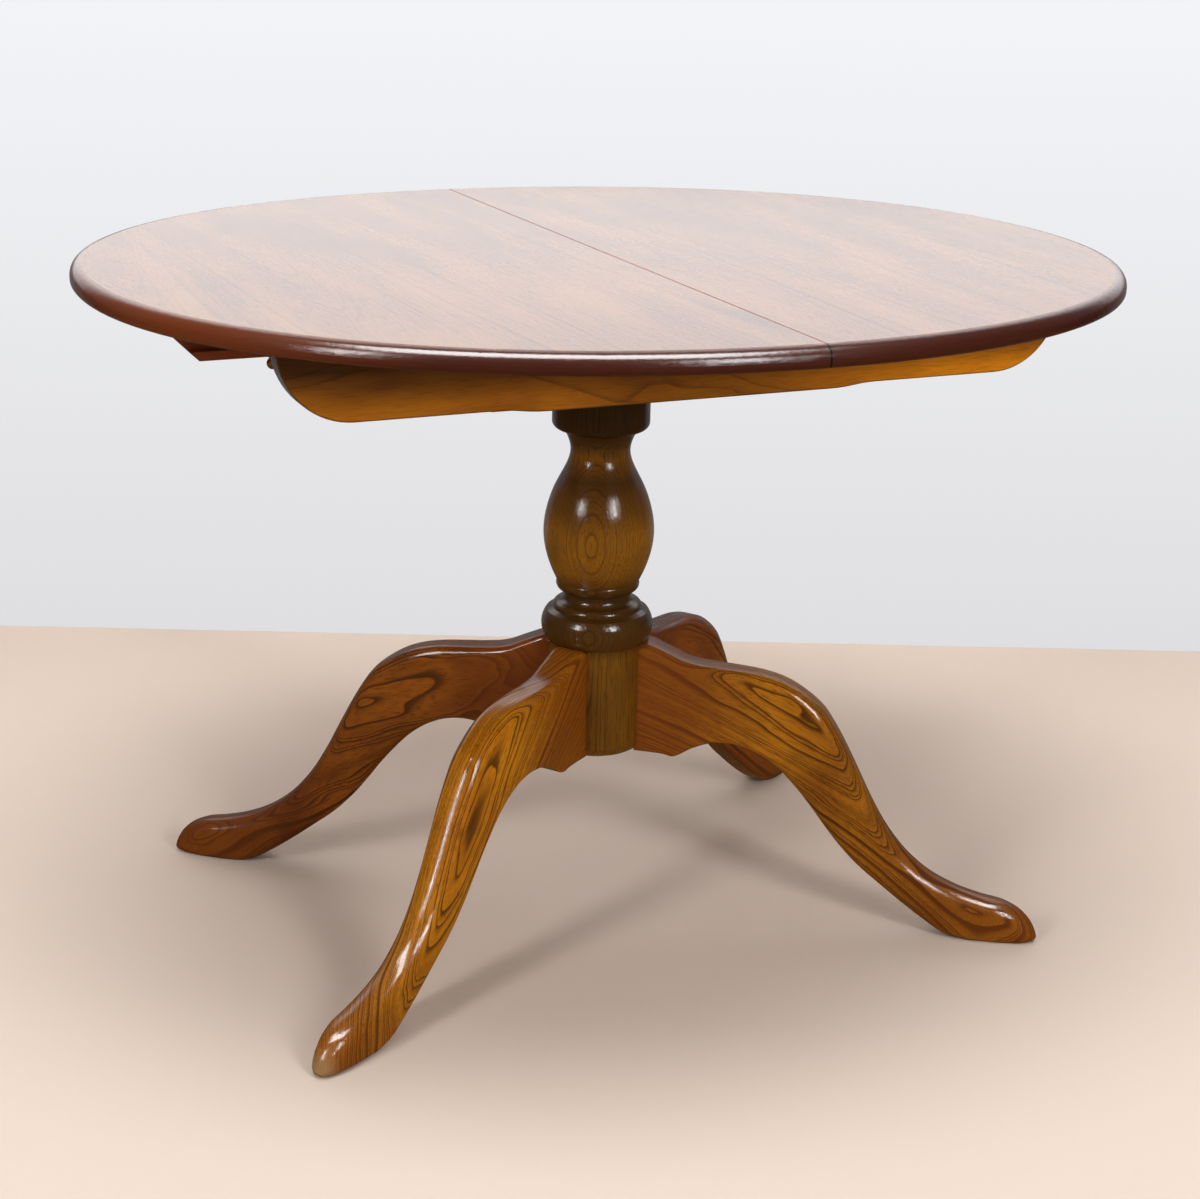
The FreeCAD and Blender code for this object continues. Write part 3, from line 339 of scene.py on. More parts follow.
# %% [markdown]
# ## The growth rings of a trunk
#
# Elm is a ring-porous timber. Each spring the tree makes a band of wide pores, and stain
# sinks into them and dries dark; the dense summer wood between stays golden. A plank shows
# lines wherever its face cuts those rings: straight ones where it cuts square across them,
# nested arches where it cuts them at a slant, and loops where it only grazes them.
#
# A flat pattern wrapped round a leg can't do that, so the tree itself is modelled. Each
# point of the wood has a distance from the tree's pith. That distance, divided by the
# width of a ring, counts the rings, and the fraction left over says where in the year's
# growth the point lies. A trunk is seldom straight, so it may bow to the side and curve
# downwards, and a slow noise lets the rings wander.

# %% A trunk
WANDER_DETAIL, WANDER_ROUGHNESS = 2.0, 0.45
NOISE_MIDDLE = (0.5, 0.5, 0.5)


def trunk(tree, place, pith, grain, bow, curve, wander_mm, wave_mm):
    """The place in a wandering trunk: X along the grain, Y and Z from the pith.

    The bow to the side and the curve downwards are given as one over their radius in metres.
    The wander is how far the rings swing, and the two waves are how long a swing is along
    the grain and across it.
    """
    turn = grain.to_track_quat("X", "Z").to_euler()
    straight = add(tree, "Mapping", {0: place, "Location": pith, "Rotation": turn},
                   vector_type="TEXTURE")
    along = add(tree, "SeparateXYZ", {0: straight.outputs[0]}).outputs["X"]
    square = add(tree, "Math", {0: along, 1: along}, operation="MULTIPLY")
    aside = add(tree, "Math", {0: square.outputs[0], 1: bow / 2}, operation="MULTIPLY")
    down = add(tree, "Math", {0: square.outputs[0], 1: curve / 2}, operation="MULTIPLY")
    bowing = add(tree, "CombineXYZ", {"Y": aside.outputs[0], "Z": down.outputs[0]})
    bowed = add(tree, "VectorMath", {0: straight.outputs[0], 1: bowing.outputs[0]},
                operation="ADD")

    slow = (1 / (wave_mm[0] * MM), 1 / (wave_mm[1] * MM), 1 / (wave_mm[1] * MM))
    drawn_out = add(tree, "VectorMath", {0: straight.outputs[0], 1: slow}, operation="MULTIPLY")
    noise = add(tree, "TexNoise", {"Vector": drawn_out.outputs[0], "Scale": 1.0,
                                   "Detail": WANDER_DETAIL, "Roughness": WANDER_ROUGHNESS})
    swing = add(tree, "VectorMath", {0: noise.outputs["Color"], 1: NOISE_MIDDLE},
                operation="SUBTRACT")
    # The swing is half a unit to each side, so twice the wander brings it to its full width.
    reach = add(tree, "VectorMath", {0: swing.outputs[0], "Scale": 2 * wander_mm * MM},
                operation="SCALE")
    bent = add(tree, "VectorMath", {0: bowed.outputs[0], 1: reach.outputs[0]}, operation="ADD")
    return bent.outputs[0]


print("a trunk wanders with a roughness of", WANDER_ROUGHNESS)

# %% Its rings
# A year is a ramp. Each pair is a moment of the year, from spring to winter, and how dark
# the wood of that moment is.
BROAD_YEAR = [(0.00, 0.25), (0.05, 1.00), (0.22, 0.85), (0.42, 0.40), (0.68, 0.12),
              (0.95, 0.00)]
FINE_YEAR = [(0.00, 0.35), (0.04, 1.00), (0.14, 0.60), (0.30, 0.20), (0.60, 0.05),
             (0.95, 0.00)]
# Good and poor years: the noise changes over about two rings, and moves their count by three
# at most.
GOOD_YEARS_SCALE = 0.45
GOOD_YEARS_SWING = 3.0


def rings(tree, bent, ring_mm, year):
    """How much of the dark early wood shows at a point, from 0 to 1."""
    across = add(tree, "VectorMath", {0: bent, 1: (0, 1, 1)}, operation="MULTIPLY")
    radius = add(tree, "VectorMath", {0: across.outputs[0]}, operation="LENGTH")
    count = add(tree, "Math", {0: radius.outputs["Value"], 1: ring_mm * MM}, operation="DIVIDE")
    good_years = add(tree, "TexNoise", {"W": count.outputs[0], "Scale": GOOD_YEARS_SCALE,
                                        "Detail": 1.0}, noise_dimensions="1D")
    uneven = add(tree, "Math", {0: good_years.outputs[0], 1: GOOD_YEARS_SWING,
                                2: count.outputs[0]}, operation="MULTIPLY_ADD")
    season = add(tree, "Math", {0: uneven.outputs[0]}, operation="FRACT")
    return add(tree, "ValToRGB", {0: season.outputs[0]}, year).outputs[0]


print("a year's growth in the legs, from spring to winter:", BROAD_YEAR)

# %% [markdown]
# ## Pores, stain and lacquer
#
# Between the rings lie the pores, fine dark dashes along the grain. In the wood they are a
# quarter of a millimetre wide; they are drawn here at nearly a millimetre, or they would
# not show. The finish is a dark stain under several coats of clear lacquer. In the shader
# the wood itself is rough, and a smooth coat over it does the shining. The coat sinks a
# little into the pores, which a shallow bump gives.

# %% The wood material
PORE_WIDTH_MM = 0.9
PORE_LENGTH_MM = 22.0
PORE_FROM, PORE_FULL = 0.50, 0.68
PATCHES_PER_METRE = 9.0
PATCH_FROM, PATCH_FULL = 0.35, 0.70
RING_RELIEF = 0.5
BUMP_STRENGTH = 0.12
BUMP_DEPTH_MM = 0.4
BARE_ROUGHNESS = 0.5
BARE_SPECULAR = 0.1
WOOD_IOR = 1.5
LACQUER_IOR = 1.5


def stained(tree, colour, share, code):
    """The colour with a share of another one over it."""
    return add(tree, "Mix", {0: share, 6: colour, 7: linear(code)}, data_type="RGBA").outputs[2]


def wood(name, light, dark, deep, pith, grain, ring_mm=4.0, bow=0.0, curve=0.0, wander_mm=6.0,
         wave_mm=(220, 70), year=FINE_YEAR, contrast=0.85, pore=0.3, coat=1.0,
         coat_roughness=0.10, place=None, tint=None):
    """Stained wood, with lacquer over it.

    The colours are that of the wood between its rings, that of its rings and pores, and that
    of its deeper patches. place(tree) may move the wood, and tint(tree, colour) may change
    the colour from place to place.
    """
    material = bpy.data.materials.new(name)
    material.use_nodes = True
    tree = material.node_tree
    surface = tree.nodes["Principled BSDF"]
    whole = add(tree, "TexCoord").outputs["Object"]
    spot = place(tree) if place else whole
    bent = trunk(tree, spot, pith, grain, bow, curve, wander_mm, wave_mm)
    early = rings(tree, bent, ring_mm, year)

    dash = (1 / (PORE_LENGTH_MM * MM), 1 / (PORE_WIDTH_MM * MM), 1 / (PORE_WIDTH_MM * MM))
    fibres = add(tree, "VectorMath", {0: bent, 1: dash}, operation="MULTIPLY")
    pore_noise = add(tree, "TexNoise", {"Vector": fibres.outputs[0], "Scale": 1.0, "Detail": 2.0})
    pores = add(tree, "MapRange", {0: pore_noise.outputs[0], 1: PORE_FROM, 2: PORE_FULL,
                                   3: 0.0, 4: 1.0})
    patch_noise = add(tree, "TexNoise", {"Vector": whole, "Scale": PATCHES_PER_METRE,
                                         "Detail": 3.0})
    patches = add(tree, "MapRange", {0: patch_noise.outputs[0], 1: PATCH_FROM, 2: PATCH_FULL,
                                     3: 0.0, 4: 1.0})

    ground = stained(tree, linear(light), patches.outputs[0], deep)
    dark_share = add(tree, "Math", {0: early, 1: contrast}, operation="MULTIPLY")
    ringed = stained(tree, ground, dark_share.outputs[0], dark)
    pore_share = add(tree, "Math", {0: pores.outputs[0], 1: pore}, operation="MULTIPLY")
    colour = stained(tree, ringed, pore_share.outputs[0], dark)
    if tint:
        colour = tint(tree, colour)
    tree.links.new(colour, surface.inputs["Base Color"])

    height = add(tree, "Math", {0: early, 1: RING_RELIEF, 2: pores.outputs[0]},
                 operation="MULTIPLY_ADD")
    bump = add(tree, "Bump", {"Height": height.outputs[0], "Strength": BUMP_STRENGTH,
                              "Distance": BUMP_DEPTH_MM * MM}, invert=True)
    tree.links.new(bump.outputs[0], surface.inputs["Normal"])
    tree.links.new(bump.outputs[0], surface.inputs["Coat Normal"])
    surface.inputs["Roughness"].default_value = BARE_ROUGHNESS
    surface.inputs["IOR"].default_value = WOOD_IOR
    surface.inputs["Specular IOR Level"].default_value = BARE_SPECULAR
    surface.inputs["Coat Weight"].default_value = coat
    surface.inputs["Coat Roughness"].default_value = coat_roughness
    surface.inputs["Coat IOR"].default_value = LACQUER_IOR
    return material


def finish(pieces, material):
    """Gives every listed piece the material."""
    for piece in pieces:
        for slot in nodes[piece].material_slots:
            slot.material = material
    print(material.name, "on", ", ".join(pieces))


print("pores are drawn", PORE_WIDTH_MM, "mm wide and", PORE_LENGTH_MM, "mm long")

# %% [markdown]
# ## Legs
#
# A sabre leg is bandsawn from a plank, so from the side it has two curved outlines, and
# then it is rounded by hand. The edges stay crisp near the post and grow rounder towards
# the foot, where hardly any flat is left. A bevel has one width, so the leg is lofted
# instead: cross-sections stand along it, each a rectangle with its own rounded corners,
# and a skin joins them.
#
# Each line below is one section: its upper point and its lower point, both as shares of
# the leg's reach and height, then the rounding of its upper and lower corners and how
# wide it is, as shares of half the thickness.

# %% Sections of a leg
LEG_SECTIONS = [
    # Upper point, lower point, upper and lower rounding, width
    (0.096, 0.993, 0.096, 0.600, 0.30, 0.20, 1.00),
    (0.118, 1.000, 0.127, 0.599, 0.36, 0.20, 1.00),
    (0.160, 0.974, 0.160, 0.596, 0.40, 0.20, 1.00),
    (0.207, 0.943, 0.187, 0.592, 0.42, 0.20, 1.00),
    (0.255, 0.932, 0.226, 0.628, 0.45, 0.22, 1.00),
    (0.305, 0.927, 0.268, 0.653, 0.50, 0.25, 1.00),
    (0.367, 0.918, 0.308, 0.657, 0.55, 0.28, 1.00),
    (0.420, 0.897, 0.346, 0.645, 0.60, 0.32, 1.00),
    (0.464, 0.861, 0.385, 0.616, 0.68, 0.36, 1.00),
    (0.505, 0.810, 0.422, 0.572, 0.74, 0.40, 1.00),
    (0.534, 0.747, 0.458, 0.512, 0.80, 0.44, 1.00),
    (0.562, 0.670, 0.491, 0.448, 0.84, 0.48, 1.00),
    (0.591, 0.580, 0.523, 0.379, 0.88, 0.52, 1.00),
    (0.623, 0.480, 0.560, 0.306, 0.90, 0.55, 1.00),
    (0.660, 0.382, 0.603, 0.237, 0.92, 0.56, 1.00),
    (0.707, 0.292, 0.652, 0.175, 0.93, 0.56, 1.00),
    (0.762, 0.224, 0.703, 0.113, 0.94, 0.54, 1.00),
    (0.821, 0.181, 0.754, 0.057, 0.94, 0.50, 1.00),
    (0.876, 0.157, 0.800, 0.015, 0.94, 0.45, 1.00),
    (0.921, 0.144, 0.850, 0.000, 0.95, 0.40, 0.99),
    (0.957, 0.119, 0.900, 0.000, 0.96, 0.36, 0.93),
    (0.981, 0.084, 0.940, 0.000, 0.98, 0.34, 0.80),
    (0.995, 0.046, 0.972, 0.000, 1.00, 0.34, 0.58),
    (1.000, 0.022, 0.990, 0.003, 1.00, 0.50, 0.30),
]
print(len(LEG_SECTIONS), "sections along a leg")

# %% More sections between them
# The numbers in the sum belong to the curve: it passes through rows a and b, and its slope
# at each of them is that of the line between the two rows beside it.
STEPS_BETWEEN = 5


def smooth_between(rows, steps):
    """The rows with further rows between them, on a smooth curve through them all."""
    finer = []
    last = len(rows) - 1
    for i in range(last):
        before, a, b, after = rows[max(i - 1, 0)], rows[i], rows[i + 1], rows[min(i + 2, last)]
        for k in range(steps):
            t = k / steps
            finer.append([a[j] + 0.5 * t * (b[j] - before[j] + t * (
                2 * before[j] - 5 * a[j] + 4 * b[j] - after[j] + t * (
                    3 * a[j] - before[j] - 3 * b[j] + after[j])))
                for j in range(len(a))])
    return finer + [list(rows[last])]


sections = smooth_between(LEG_SECTIONS, STEPS_BETWEEN)
print(len(sections), "sections with those between")

# %% An outline for a section, and a skin over them
CORNER_STEPS = 8
CORNER_LIMIT = 0.99
SHARP_ANGLE = math.radians(32)


def section_outline(half_thick, half_high, upper_round, lower_round):
    """A rectangle with rounded corners, as pairs of across and up, anticlockwise."""
    corners = [(1, -1, lower_round), (1, 1, upper_round),
               (-1, 1, upper_round), (-1, -1, lower_round)]
    points = []
    for side, level, size in corners:
        wide = min(size, CORNER_LIMIT * half_thick)
        high = min(size, CORNER_LIMIT * half_high)
        for k in range(CORNER_STEPS + 1):
            turn = math.pi / 2 * k / CORNER_STEPS
            s, c = math.sin(turn), math.cos(turn)
            if side != level:
                s, c = c, s
            points.append((side * (half_thick - wide * (1 - c)),
                           level * (half_high - high * (1 - s))))
    return points


def skin(name, outlines):
    """A closed mesh through outlines that have the same number of points."""
    count = len(outlines[0])
    points = [p for outline in outlines for p in outline]
    faces = [(i * count + j, i * count + (j + 1) % count,
              (i + 1) * count + (j + 1) % count, (i + 1) * count + j)
             for i in range(len(outlines) - 1) for j in range(count)]
    faces += [tuple(reversed(range(count))), tuple(range(len(points) - count, len(points)))]
    mesh = bpy.data.meshes.new(name)
    mesh.from_pydata(points, [], faces)
    mesh.shade_smooth()
    mesh.set_sharp_from_angle(angle=SHARP_ANGLE)
    piece = bpy.data.objects.new(name, mesh)
    bpy.context.collection.objects.link(piece)
    return piece


print("each rounded corner takes", CORNER_STEPS, "steps")

# %% Four shaped legs
LEG_ANGLES = {"leg_back_right": 35, "leg_back_left": 145, "leg_front_left": 215,
              "leg_front_right": -35}


def in_leg(angle, along, across, height):
    """A place in a leg's own plane, turned to where the leg stands."""
    turn = Matrix.Rotation(math.radians(angle), 3, "Z")
    return turn @ Vector((along, across, height))


def shaped_leg(leg, angle):
    """A lofted leg that fills the same outline as the solid leg."""
    corners = [v.co for v in nodes[leg].data.vertices]
    outward = in_leg(angle, 1, 0, 0)
    reach = max(c.dot(outward) for c in corners)
    high = max(c.z for c in corners)
    half_thick = max(abs(c.dot(in_leg(angle, 0, 1, 0))) for c in corners)
    outlines = []
    for out, up, low_out, low_up, upper_round, lower_round, width in sections:
        top = Vector((out * reach, up * high))
        bottom = Vector((low_out * reach, max(low_up, 0) * high))
        middle, rise = (top + bottom) / 2, (top - bottom) / 2
        outline = section_outline(half_thick * width, rise.length, half_thick * upper_round,
                                  half_thick * lower_round)
        rise.normalize()
        outlines.append([in_leg(angle, middle.x + rise.x * y, x, middle.y + rise.y * y)
                         for x, y in outline])
    return skin(leg.replace("leg_", "shaped_leg_"), outlines)


shaped_legs = {}
for leg, angle in LEG_ANGLES.items():
    shaped_legs[leg] = shaped_leg(leg, angle)
    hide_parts(leg)
    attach(shaped_legs[leg], "base")
    low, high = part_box(leg)
    print(leg, "reaches", round(max(abs(low.x), abs(high.x)), 3), "m along the table")

# %% [markdown]
# ## Wood of the legs
# Each leg is sawn from its own plank, with the grain along the leg, because short grain
# across it would snap. So each has a trunk of its own, turned with the leg. The plank is
# cut well away from the pith, so the rings lie nearly flat in it. The cheek then shows a
# few broad loops, and the rounded edges cut down through ring after ring, which draws fine
# lines along them. Along the foot the stain lies redder. Near the post the wood is painted
# redder and darker, partly stain and partly painted shade under the top.

# %% Stain and painted shade along a leg
LEG_DARK = "#351703"
# Each pair is a share of the leg's reach and how much red lies there: near the post partly
# painted shade under the top, along the foot stain.
STAIN_AND_SHADE_ALONG_LEG = [(0.00, 0.90), (0.22, 0.60), (0.38, 0.0), (0.56, 0.0), (0.75, 0.35), (1.00, 0.60)]
RED_STAIN_AND_SHADE = "#72360A"
LEG_REACH = max(v.co.xy.length for v in nodes["leg_front_right"].data.vertices)


def share_of_reach(tree):
    """How far out along a leg a point lies, from 0 at the column to 1 at the toe."""
    place = add(tree, "TexCoord").outputs["Object"]
    flat = add(tree, "VectorMath", {0: place, 1: (1, 1, 0)}, operation="MULTIPLY")
    out = add(tree, "VectorMath", {0: flat.outputs[0]}, operation="LENGTH")
    return add(tree, "Math", {0: out.outputs["Value"], 1: LEG_REACH},
               operation="DIVIDE").outputs[0]


def redder_and_shaded_ends(tree, colour):
    """Redder stain along the foot, and near the post redder stain with painted shade under the
    top.
    """
    share = add(tree, "ValToRGB", {0: share_of_reach(tree)}, STAIN_AND_SHADE_ALONG_LEG)
    return stained(tree, colour, share.outputs[0], RED_STAIN_AND_SHADE)


print("the toes reach", round(LEG_REACH, 3), "m from the column's axis")

# %% A worn toe
# The wear begins at a share of the leg's reach, with the swing of the scuffs added to it.
WORN_LEG = "leg_front_left"
WORN_FROM, WORN_FULL = 0.995, 1.025
WORN_SHARE = 0.75
BARE_WOOD = "#9C8058"
SCUFFS_PER_METRE = 55.0
SCUFF_SWING = 0.06


def worn_toe(tree, colour):
    """The toe that shoes have rubbed bare, in patches."""
    reddened_and_shaded = redder_and_shaded_ends(tree, colour)
    place = add(tree, "TexCoord").outputs["Object"]
    scuffs = add(tree, "TexNoise", {"Vector": place, "Scale": SCUFFS_PER_METRE, "Detail": 3.0})
    uneven = add(tree, "Math", {0: scuffs.outputs[0], 1: SCUFF_SWING, 2: share_of_reach(tree)},
                 operation="MULTIPLY_ADD")
    worn = add(tree, "MapRange", {0: uneven.outputs[0], 1: WORN_FROM, 2: WORN_FULL, 3: 0.0,
                                  4: WORN_SHARE})
    return stained(tree, reddened_and_shaded, worn.outputs[0], BARE_WOOD)


print("the worn toe is that of", WORN_LEG)

# %% Four trunks for four legs
# Each line gives the cheek on the pith's side, the place of the loops out and up in metres,
# the slope of the grain in degrees, how far beyond the cheek the pith lies and how wide a
# ring is in millimetres, how strongly the trunk bows and curves down, as one over a radius
# in metres, how far its rings wander in millimetres, and the pale and the deep stain.
LEG_WOOD = {
    "leg_front_right": (-1, 0.214, 0.262, 26, 80, 3.4, 0.8, 2.0, 9, "#BA760E", "#8C5208"),
    "leg_front_left": (1, 0.255, 0.198, 50, 70, 3.0, 0.9, 1.0, 7, "#DC900C", "#B66C08"),
    "leg_back_left": (1, 0.235, 0.225, 20, 110, 4.2, 0.6, 2.0, 14, "#8E4E0A", "#5A2A06"),
    "leg_back_right": (-1, 0.200, 0.235, 26, 100, 3.6, 0.6, 2.0, 8, "#944C0C", "#743605"),
}
LEG_HALF_THICK_MM = 19.0
LEG_WAVE_MM = (170, 48)

for leg, (side, out, level, slope, depth_mm, ring_mm, bow, curve, wander_mm, light,
          deep) in LEG_WOOD.items():
    angle, slope = LEG_ANGLES[leg], math.radians(slope)
    pith = in_leg(angle, out, side * (LEG_HALF_THICK_MM + depth_mm) * MM, level)
    grain = in_leg(angle, math.cos(slope), 0.0, -math.sin(slope))
    leg_wood = wood(f"elm_{leg}", light, LEG_DARK, deep, pith, grain, ring_mm=ring_mm,
                    bow=-side * bow, curve=curve, wander_mm=wander_mm, wave_mm=LEG_WAVE_MM,
                    year=BROAD_YEAR, contrast=0.88, pore=0.6, coat_roughness=0.08,
                    tint=worn_toe if leg == WORN_LEG else redder_and_shaded_ends)
    shaped_legs[leg].data.materials.append(leg_wood)
print("the piths lie", [line[4] for line in LEG_WOOD.values()], "mm beyond the cheeks")

# %% [markdown]
# ## Column
#
# The column is turned from one upright block. Where the lathe swells the belly, the tool
# cuts outwards through several rings, and they show as nested ovals. For that the pith
# must lie just outside the block, on the side where the ovals are seen. Painted shade lies
# over it by height: dark in the ring and its cove, on the upper belly and on the collar
# under the top, and light on the lower belly, which stays golden.

# %% The column's trunk
OVALS_FACE = math.radians(-124)
PITH_FROM_AXIS_MM = 90.0
COLUMN_GRAIN = Vector((0.01, 0.0, 1.0))
# The colour of the painted shade on the column.
COLUMN_SHADE = "#170B04"
SHADE_TOP_MM = 600.0
# Each pair is a height in millimetres and the share of painted shade there, dark in the hollows
# and under the top.
SHADE_BY_HEIGHT = [(183, 0.50), (294, 0.55), (306, 0.80), (362, 0.84), (371, 0.70), (388, 0.25),
                   (432, 0.20), (452, 0.55), (486, 0.80), (499, 0.55), (509, 0.35), (522, 0.75),
                   (540, 0.90), (580, 0.92)]


def painted_shade_by_height(tree, colour):
    """Painted shade by height, darker in the hollows of the mouldings and under the top."""
    place = add(tree, "TexCoord").outputs["Object"]
    level = add(tree, "SeparateXYZ", {0: place}).outputs["Z"]
    stops = [(height / SHADE_TOP_MM, share) for height, share in SHADE_BY_HEIGHT]
    part = add(tree, "Math", {0: level, 1: SHADE_TOP_MM * MM}, operation="DIVIDE")
    share = add(tree, "ValToRGB", {0: part.outputs[0]}, stops)
    return stained(tree, colour, share.outputs[0], COLUMN_SHADE)


pith = Vector((math.cos(OVALS_FACE), math.sin(OVALS_FACE), 0)) * PITH_FROM_AXIS_MM * MM
finish(["column"],
       wood("elm_column", "#B2740A", "#2E1805", "#845408", pith=pith, grain=COLUMN_GRAIN,
            ring_mm=2.8, wander_mm=3.0, contrast=0.58, pore=0.5, tint=painted_shade_by_height))

# %% [markdown]
# ## Top
#
# The top is glued up from planks that run parallel to the seam, each from a different part
# of the tree. So each plank shifts the trunk by its own random step, and long golden zones
# lie along the grain. The rim was stained once more. In front and behind it shows the
# planks' ends, and end grain drinks more stain than a face does, so it is darkest there. At
# the two ends of the oval it shows a plank's side and stays redder. At the seam the lacquer
# and the stain are rubbed through to a thin orange line.

# %% The top's planks
ALONG_Y = Vector((0.01, 1.0, 0.02))
PLANK_WIDTH_MM = 107.0
PLANK_SHIFT_MM = (160.0, 700.0, 40.0)


def planks(tree):
    """The place in a plank, each plank shifted by its own random step."""
    place = add(tree, "TexCoord").outputs["Object"]
    across = add(tree, "SeparateXYZ", {0: place}).outputs["X"]
    count = add(tree, "Math", {0: across, 1: PLANK_WIDTH_MM * MM}, operation="DIVIDE")
    index = add(tree, "Math", {0: count.outputs[0]}, operation="FLOOR")
    dice = add(tree, "TexWhiteNoise", {"W": index.outputs[0]}, noise_dimensions="1D")
    centred = add(tree, "VectorMath", {0: dice.outputs["Color"], 1: NOISE_MIDDLE},
                  operation="SUBTRACT")
    shift = tuple(side * MM for side in PLANK_SHIFT_MM)
    step = add(tree, "VectorMath", {0: centred.outputs[0], 1: shift}, operation="MULTIPLY")
    middle = add(tree, "Math", {0: index.outputs[0], 1: 0.5}, operation="ADD")
    home = add(tree, "Math", {0: middle.outputs[0], 1: PLANK_WIDTH_MM * MM}, operation="MULTIPLY")
    apart = add(tree, "CombineXYZ", {"X": home.outputs[0]})
    own = add(tree, "VectorMath", {0: place, 1: apart.outputs[0]}, operation="SUBTRACT")
    moved = add(tree, "VectorMath", {0: own.outputs[0], 1: step.outputs[0]}, operation="ADD")
    return moved.outputs[0]


print("about", round(table_size.x / (PLANK_WIDTH_MM * MM)), "planks in the top")

# %% Golden zones and the stored leaf
GOLDEN = "#AC7436"
GOLDEN_ZONE_MM = (48.0, 300.0, 48.0)
GOLDEN_FROM, GOLDEN_FULL = 0.40, 0.70
GOLDEN_SHARE = 0.50
TOP_STAINS = ("#8E5A30", "#4A2412", "#84502A")
TOP_LEVEL, LEAF_LEVEL = 0.640, 0.580


def golden_zones(tree, colour):
    """Broad paler zones along the grain, where the stain took less."""
    place = add(tree, "TexCoord").outputs["Object"]
    zone = tuple(1 / (side * MM) for side in GOLDEN_ZONE_MM)
    small = add(tree, "VectorMath", {0: place, 1: zone}, operation="MULTIPLY")
    noise = add(tree, "TexNoise", {"Vector": small.outputs[0], "Scale": 1.0, "Detail": 3.0})
    zones = add(tree, "MapRange", {0: noise.outputs[0], 1: GOLDEN_FROM, 2: GOLDEN_FULL, 3: 0.0,
                                   4: GOLDEN_SHARE})
    return stained(tree, colour, zones.outputs[0], GOLDEN)


def plank_wood(name, level, coat_roughness, tint):
    """The wood of planks, from trunks whose piths lie at this level in metres."""
    return wood(name, *TOP_STAINS, pith=Vector((0.0, 0.0, level)), grain=ALONG_Y, ring_mm=3.0,
                wander_mm=3.0, wave_mm=(600, 80), contrast=0.5, pore=0.65,
                coat_roughness=coat_roughness, place=planks, tint=tint)


finish(["leaf_lower", "leaf_upper"],
       plank_wood("elm_leaf", LEAF_LEVEL, coat_roughness=0.10, tint=golden_zones))

# %% Rim and seam
# The normal's Z tells the flat face from the rim, and the distance from the seam in metres
# tells end grain from long grain.
RIM_DARK = "#3C1409"
RIM_RED = "#783610"
RIM_SHARE = 0.98
FACE_TO, RIM_FROM = 0.999, 0.93
END_GRAIN_TO, LONG_GRAIN_FROM = 0.32, 0.50
LONG_GRAIN_SHARE = 0.36
SEAM_ORANGE = "#94492A"
SEAM_DARK = "#0E0403"
SEAM_HALF_MM = 0.9
SEAM_FACE = 0.99
LACQUER_LOST = 0.9


def rim_and_seam(tree, colour):
    """More stain on the turned-down edge, and a line along the seam that is rubbed bare."""
    colour = golden_zones(tree, colour)
    facing = add(tree, "SeparateXYZ", {0: add(tree, "NewGeometry").outputs["Normal"]})
    place = add(tree, "SeparateXYZ", {0: add(tree, "TexCoord").outputs["Object"]})
    aside = add(tree, "Math", {0: place.outputs["X"]}, operation="ABSOLUTE")
    soaked = add(tree, "MapRange", {0: aside.outputs[0], 1: END_GRAIN_TO, 2: LONG_GRAIN_FROM,
                                    3: RIM_SHARE, 4: LONG_GRAIN_SHARE})
    turned = add(tree, "MapRange", {0: facing.outputs["Z"], 1: FACE_TO, 2: RIM_FROM, 3: 0.0,
                                    4: RIM_SHARE})
    rim = add(tree, "Math", {0: turned.outputs[0], 1: soaked.outputs[0]}, operation="MULTIPLY")
    red = stained(tree, colour, turned.outputs[0], RIM_RED)
    rimmed = stained(tree, red, rim.outputs[0], RIM_DARK)
    near = add(tree, "Math", {0: place.outputs["X"], 1: 0.0, 2: SEAM_HALF_MM * MM},
               operation="COMPARE")
    flat = add(tree, "Math", {0: facing.outputs["Z"], 1: SEAM_FACE}, operation="GREATER_THAN")
    rubbed = add(tree, "Math", {0: near.outputs[0], 1: flat.outputs[0]}, operation="MULTIPLY")
    orange = stained(tree, rimmed, rubbed.outputs[0], SEAM_ORANGE)
    steep = add(tree, "Math", {0: near.outputs[0], 1: rubbed.outputs[0]}, operation="SUBTRACT")
    lacquer = add(tree, "Math", {0: rubbed.outputs[0], 1: -LACQUER_LOST, 2: 1.0},
                  operation="MULTIPLY_ADD")
    tree.links.new(lacquer.outputs[0], tree.nodes["Principled BSDF"].inputs["Coat Weight"])
    return stained(tree, orange, steep.outputs[0], SEAM_DARK)


finish(["top_left", "top_right"],
       plank_wood("elm_top", TOP_LEVEL, coat_roughness=0.14, tint=rim_and_seam))

# %% [markdown]
# ## Rails and bearers
#
# The long rails are the part of the frame that is seen, so they are stained and lacquered
# like the legs. They are golden along the lower edge and at the round ends, and dark under
# the top, partly a darker stain and partly painted shade. A ramp over the height gives that.
# Painted shade also darkens their middle, under the overhang and beside the column, and faces
# that look down are darker. The bearers are stained too, but hardly lacquered.

# %% Rails and bearers
ALONG_X = Vector((1.0, 0.01, 0.02))
RAIL_STAIN_AND_SHADE = "#2A1206"
RAIL_FOOT_MM, RAIL_HEAD_MM = 600, 700
# Each pair is a height in millimetres and the share of dark there, partly stain and partly
# painted shade under the top.
RAIL_STAIN_AND_SHADE_BY_HEIGHT = [(612, 0.10), (618, 0.0), (628, 0.05), (640, 0.42), (652, 0.76), (666, 0.93),
                  (700, 0.96)]
# Distances from the middle are in metres. A face looks down where its normal's Z is below 0.
MIDDLE_TO, ASIDE_FROM = 0.06, 0.26
# Painted shade over the rail's middle, under the overhang and beside the column.
MIDDLE_SHADE_SHARE = 0.55
UNDER_FROM, UNDER_FULL = -0.15, -0.6
UNDER_SHARE = 0.7


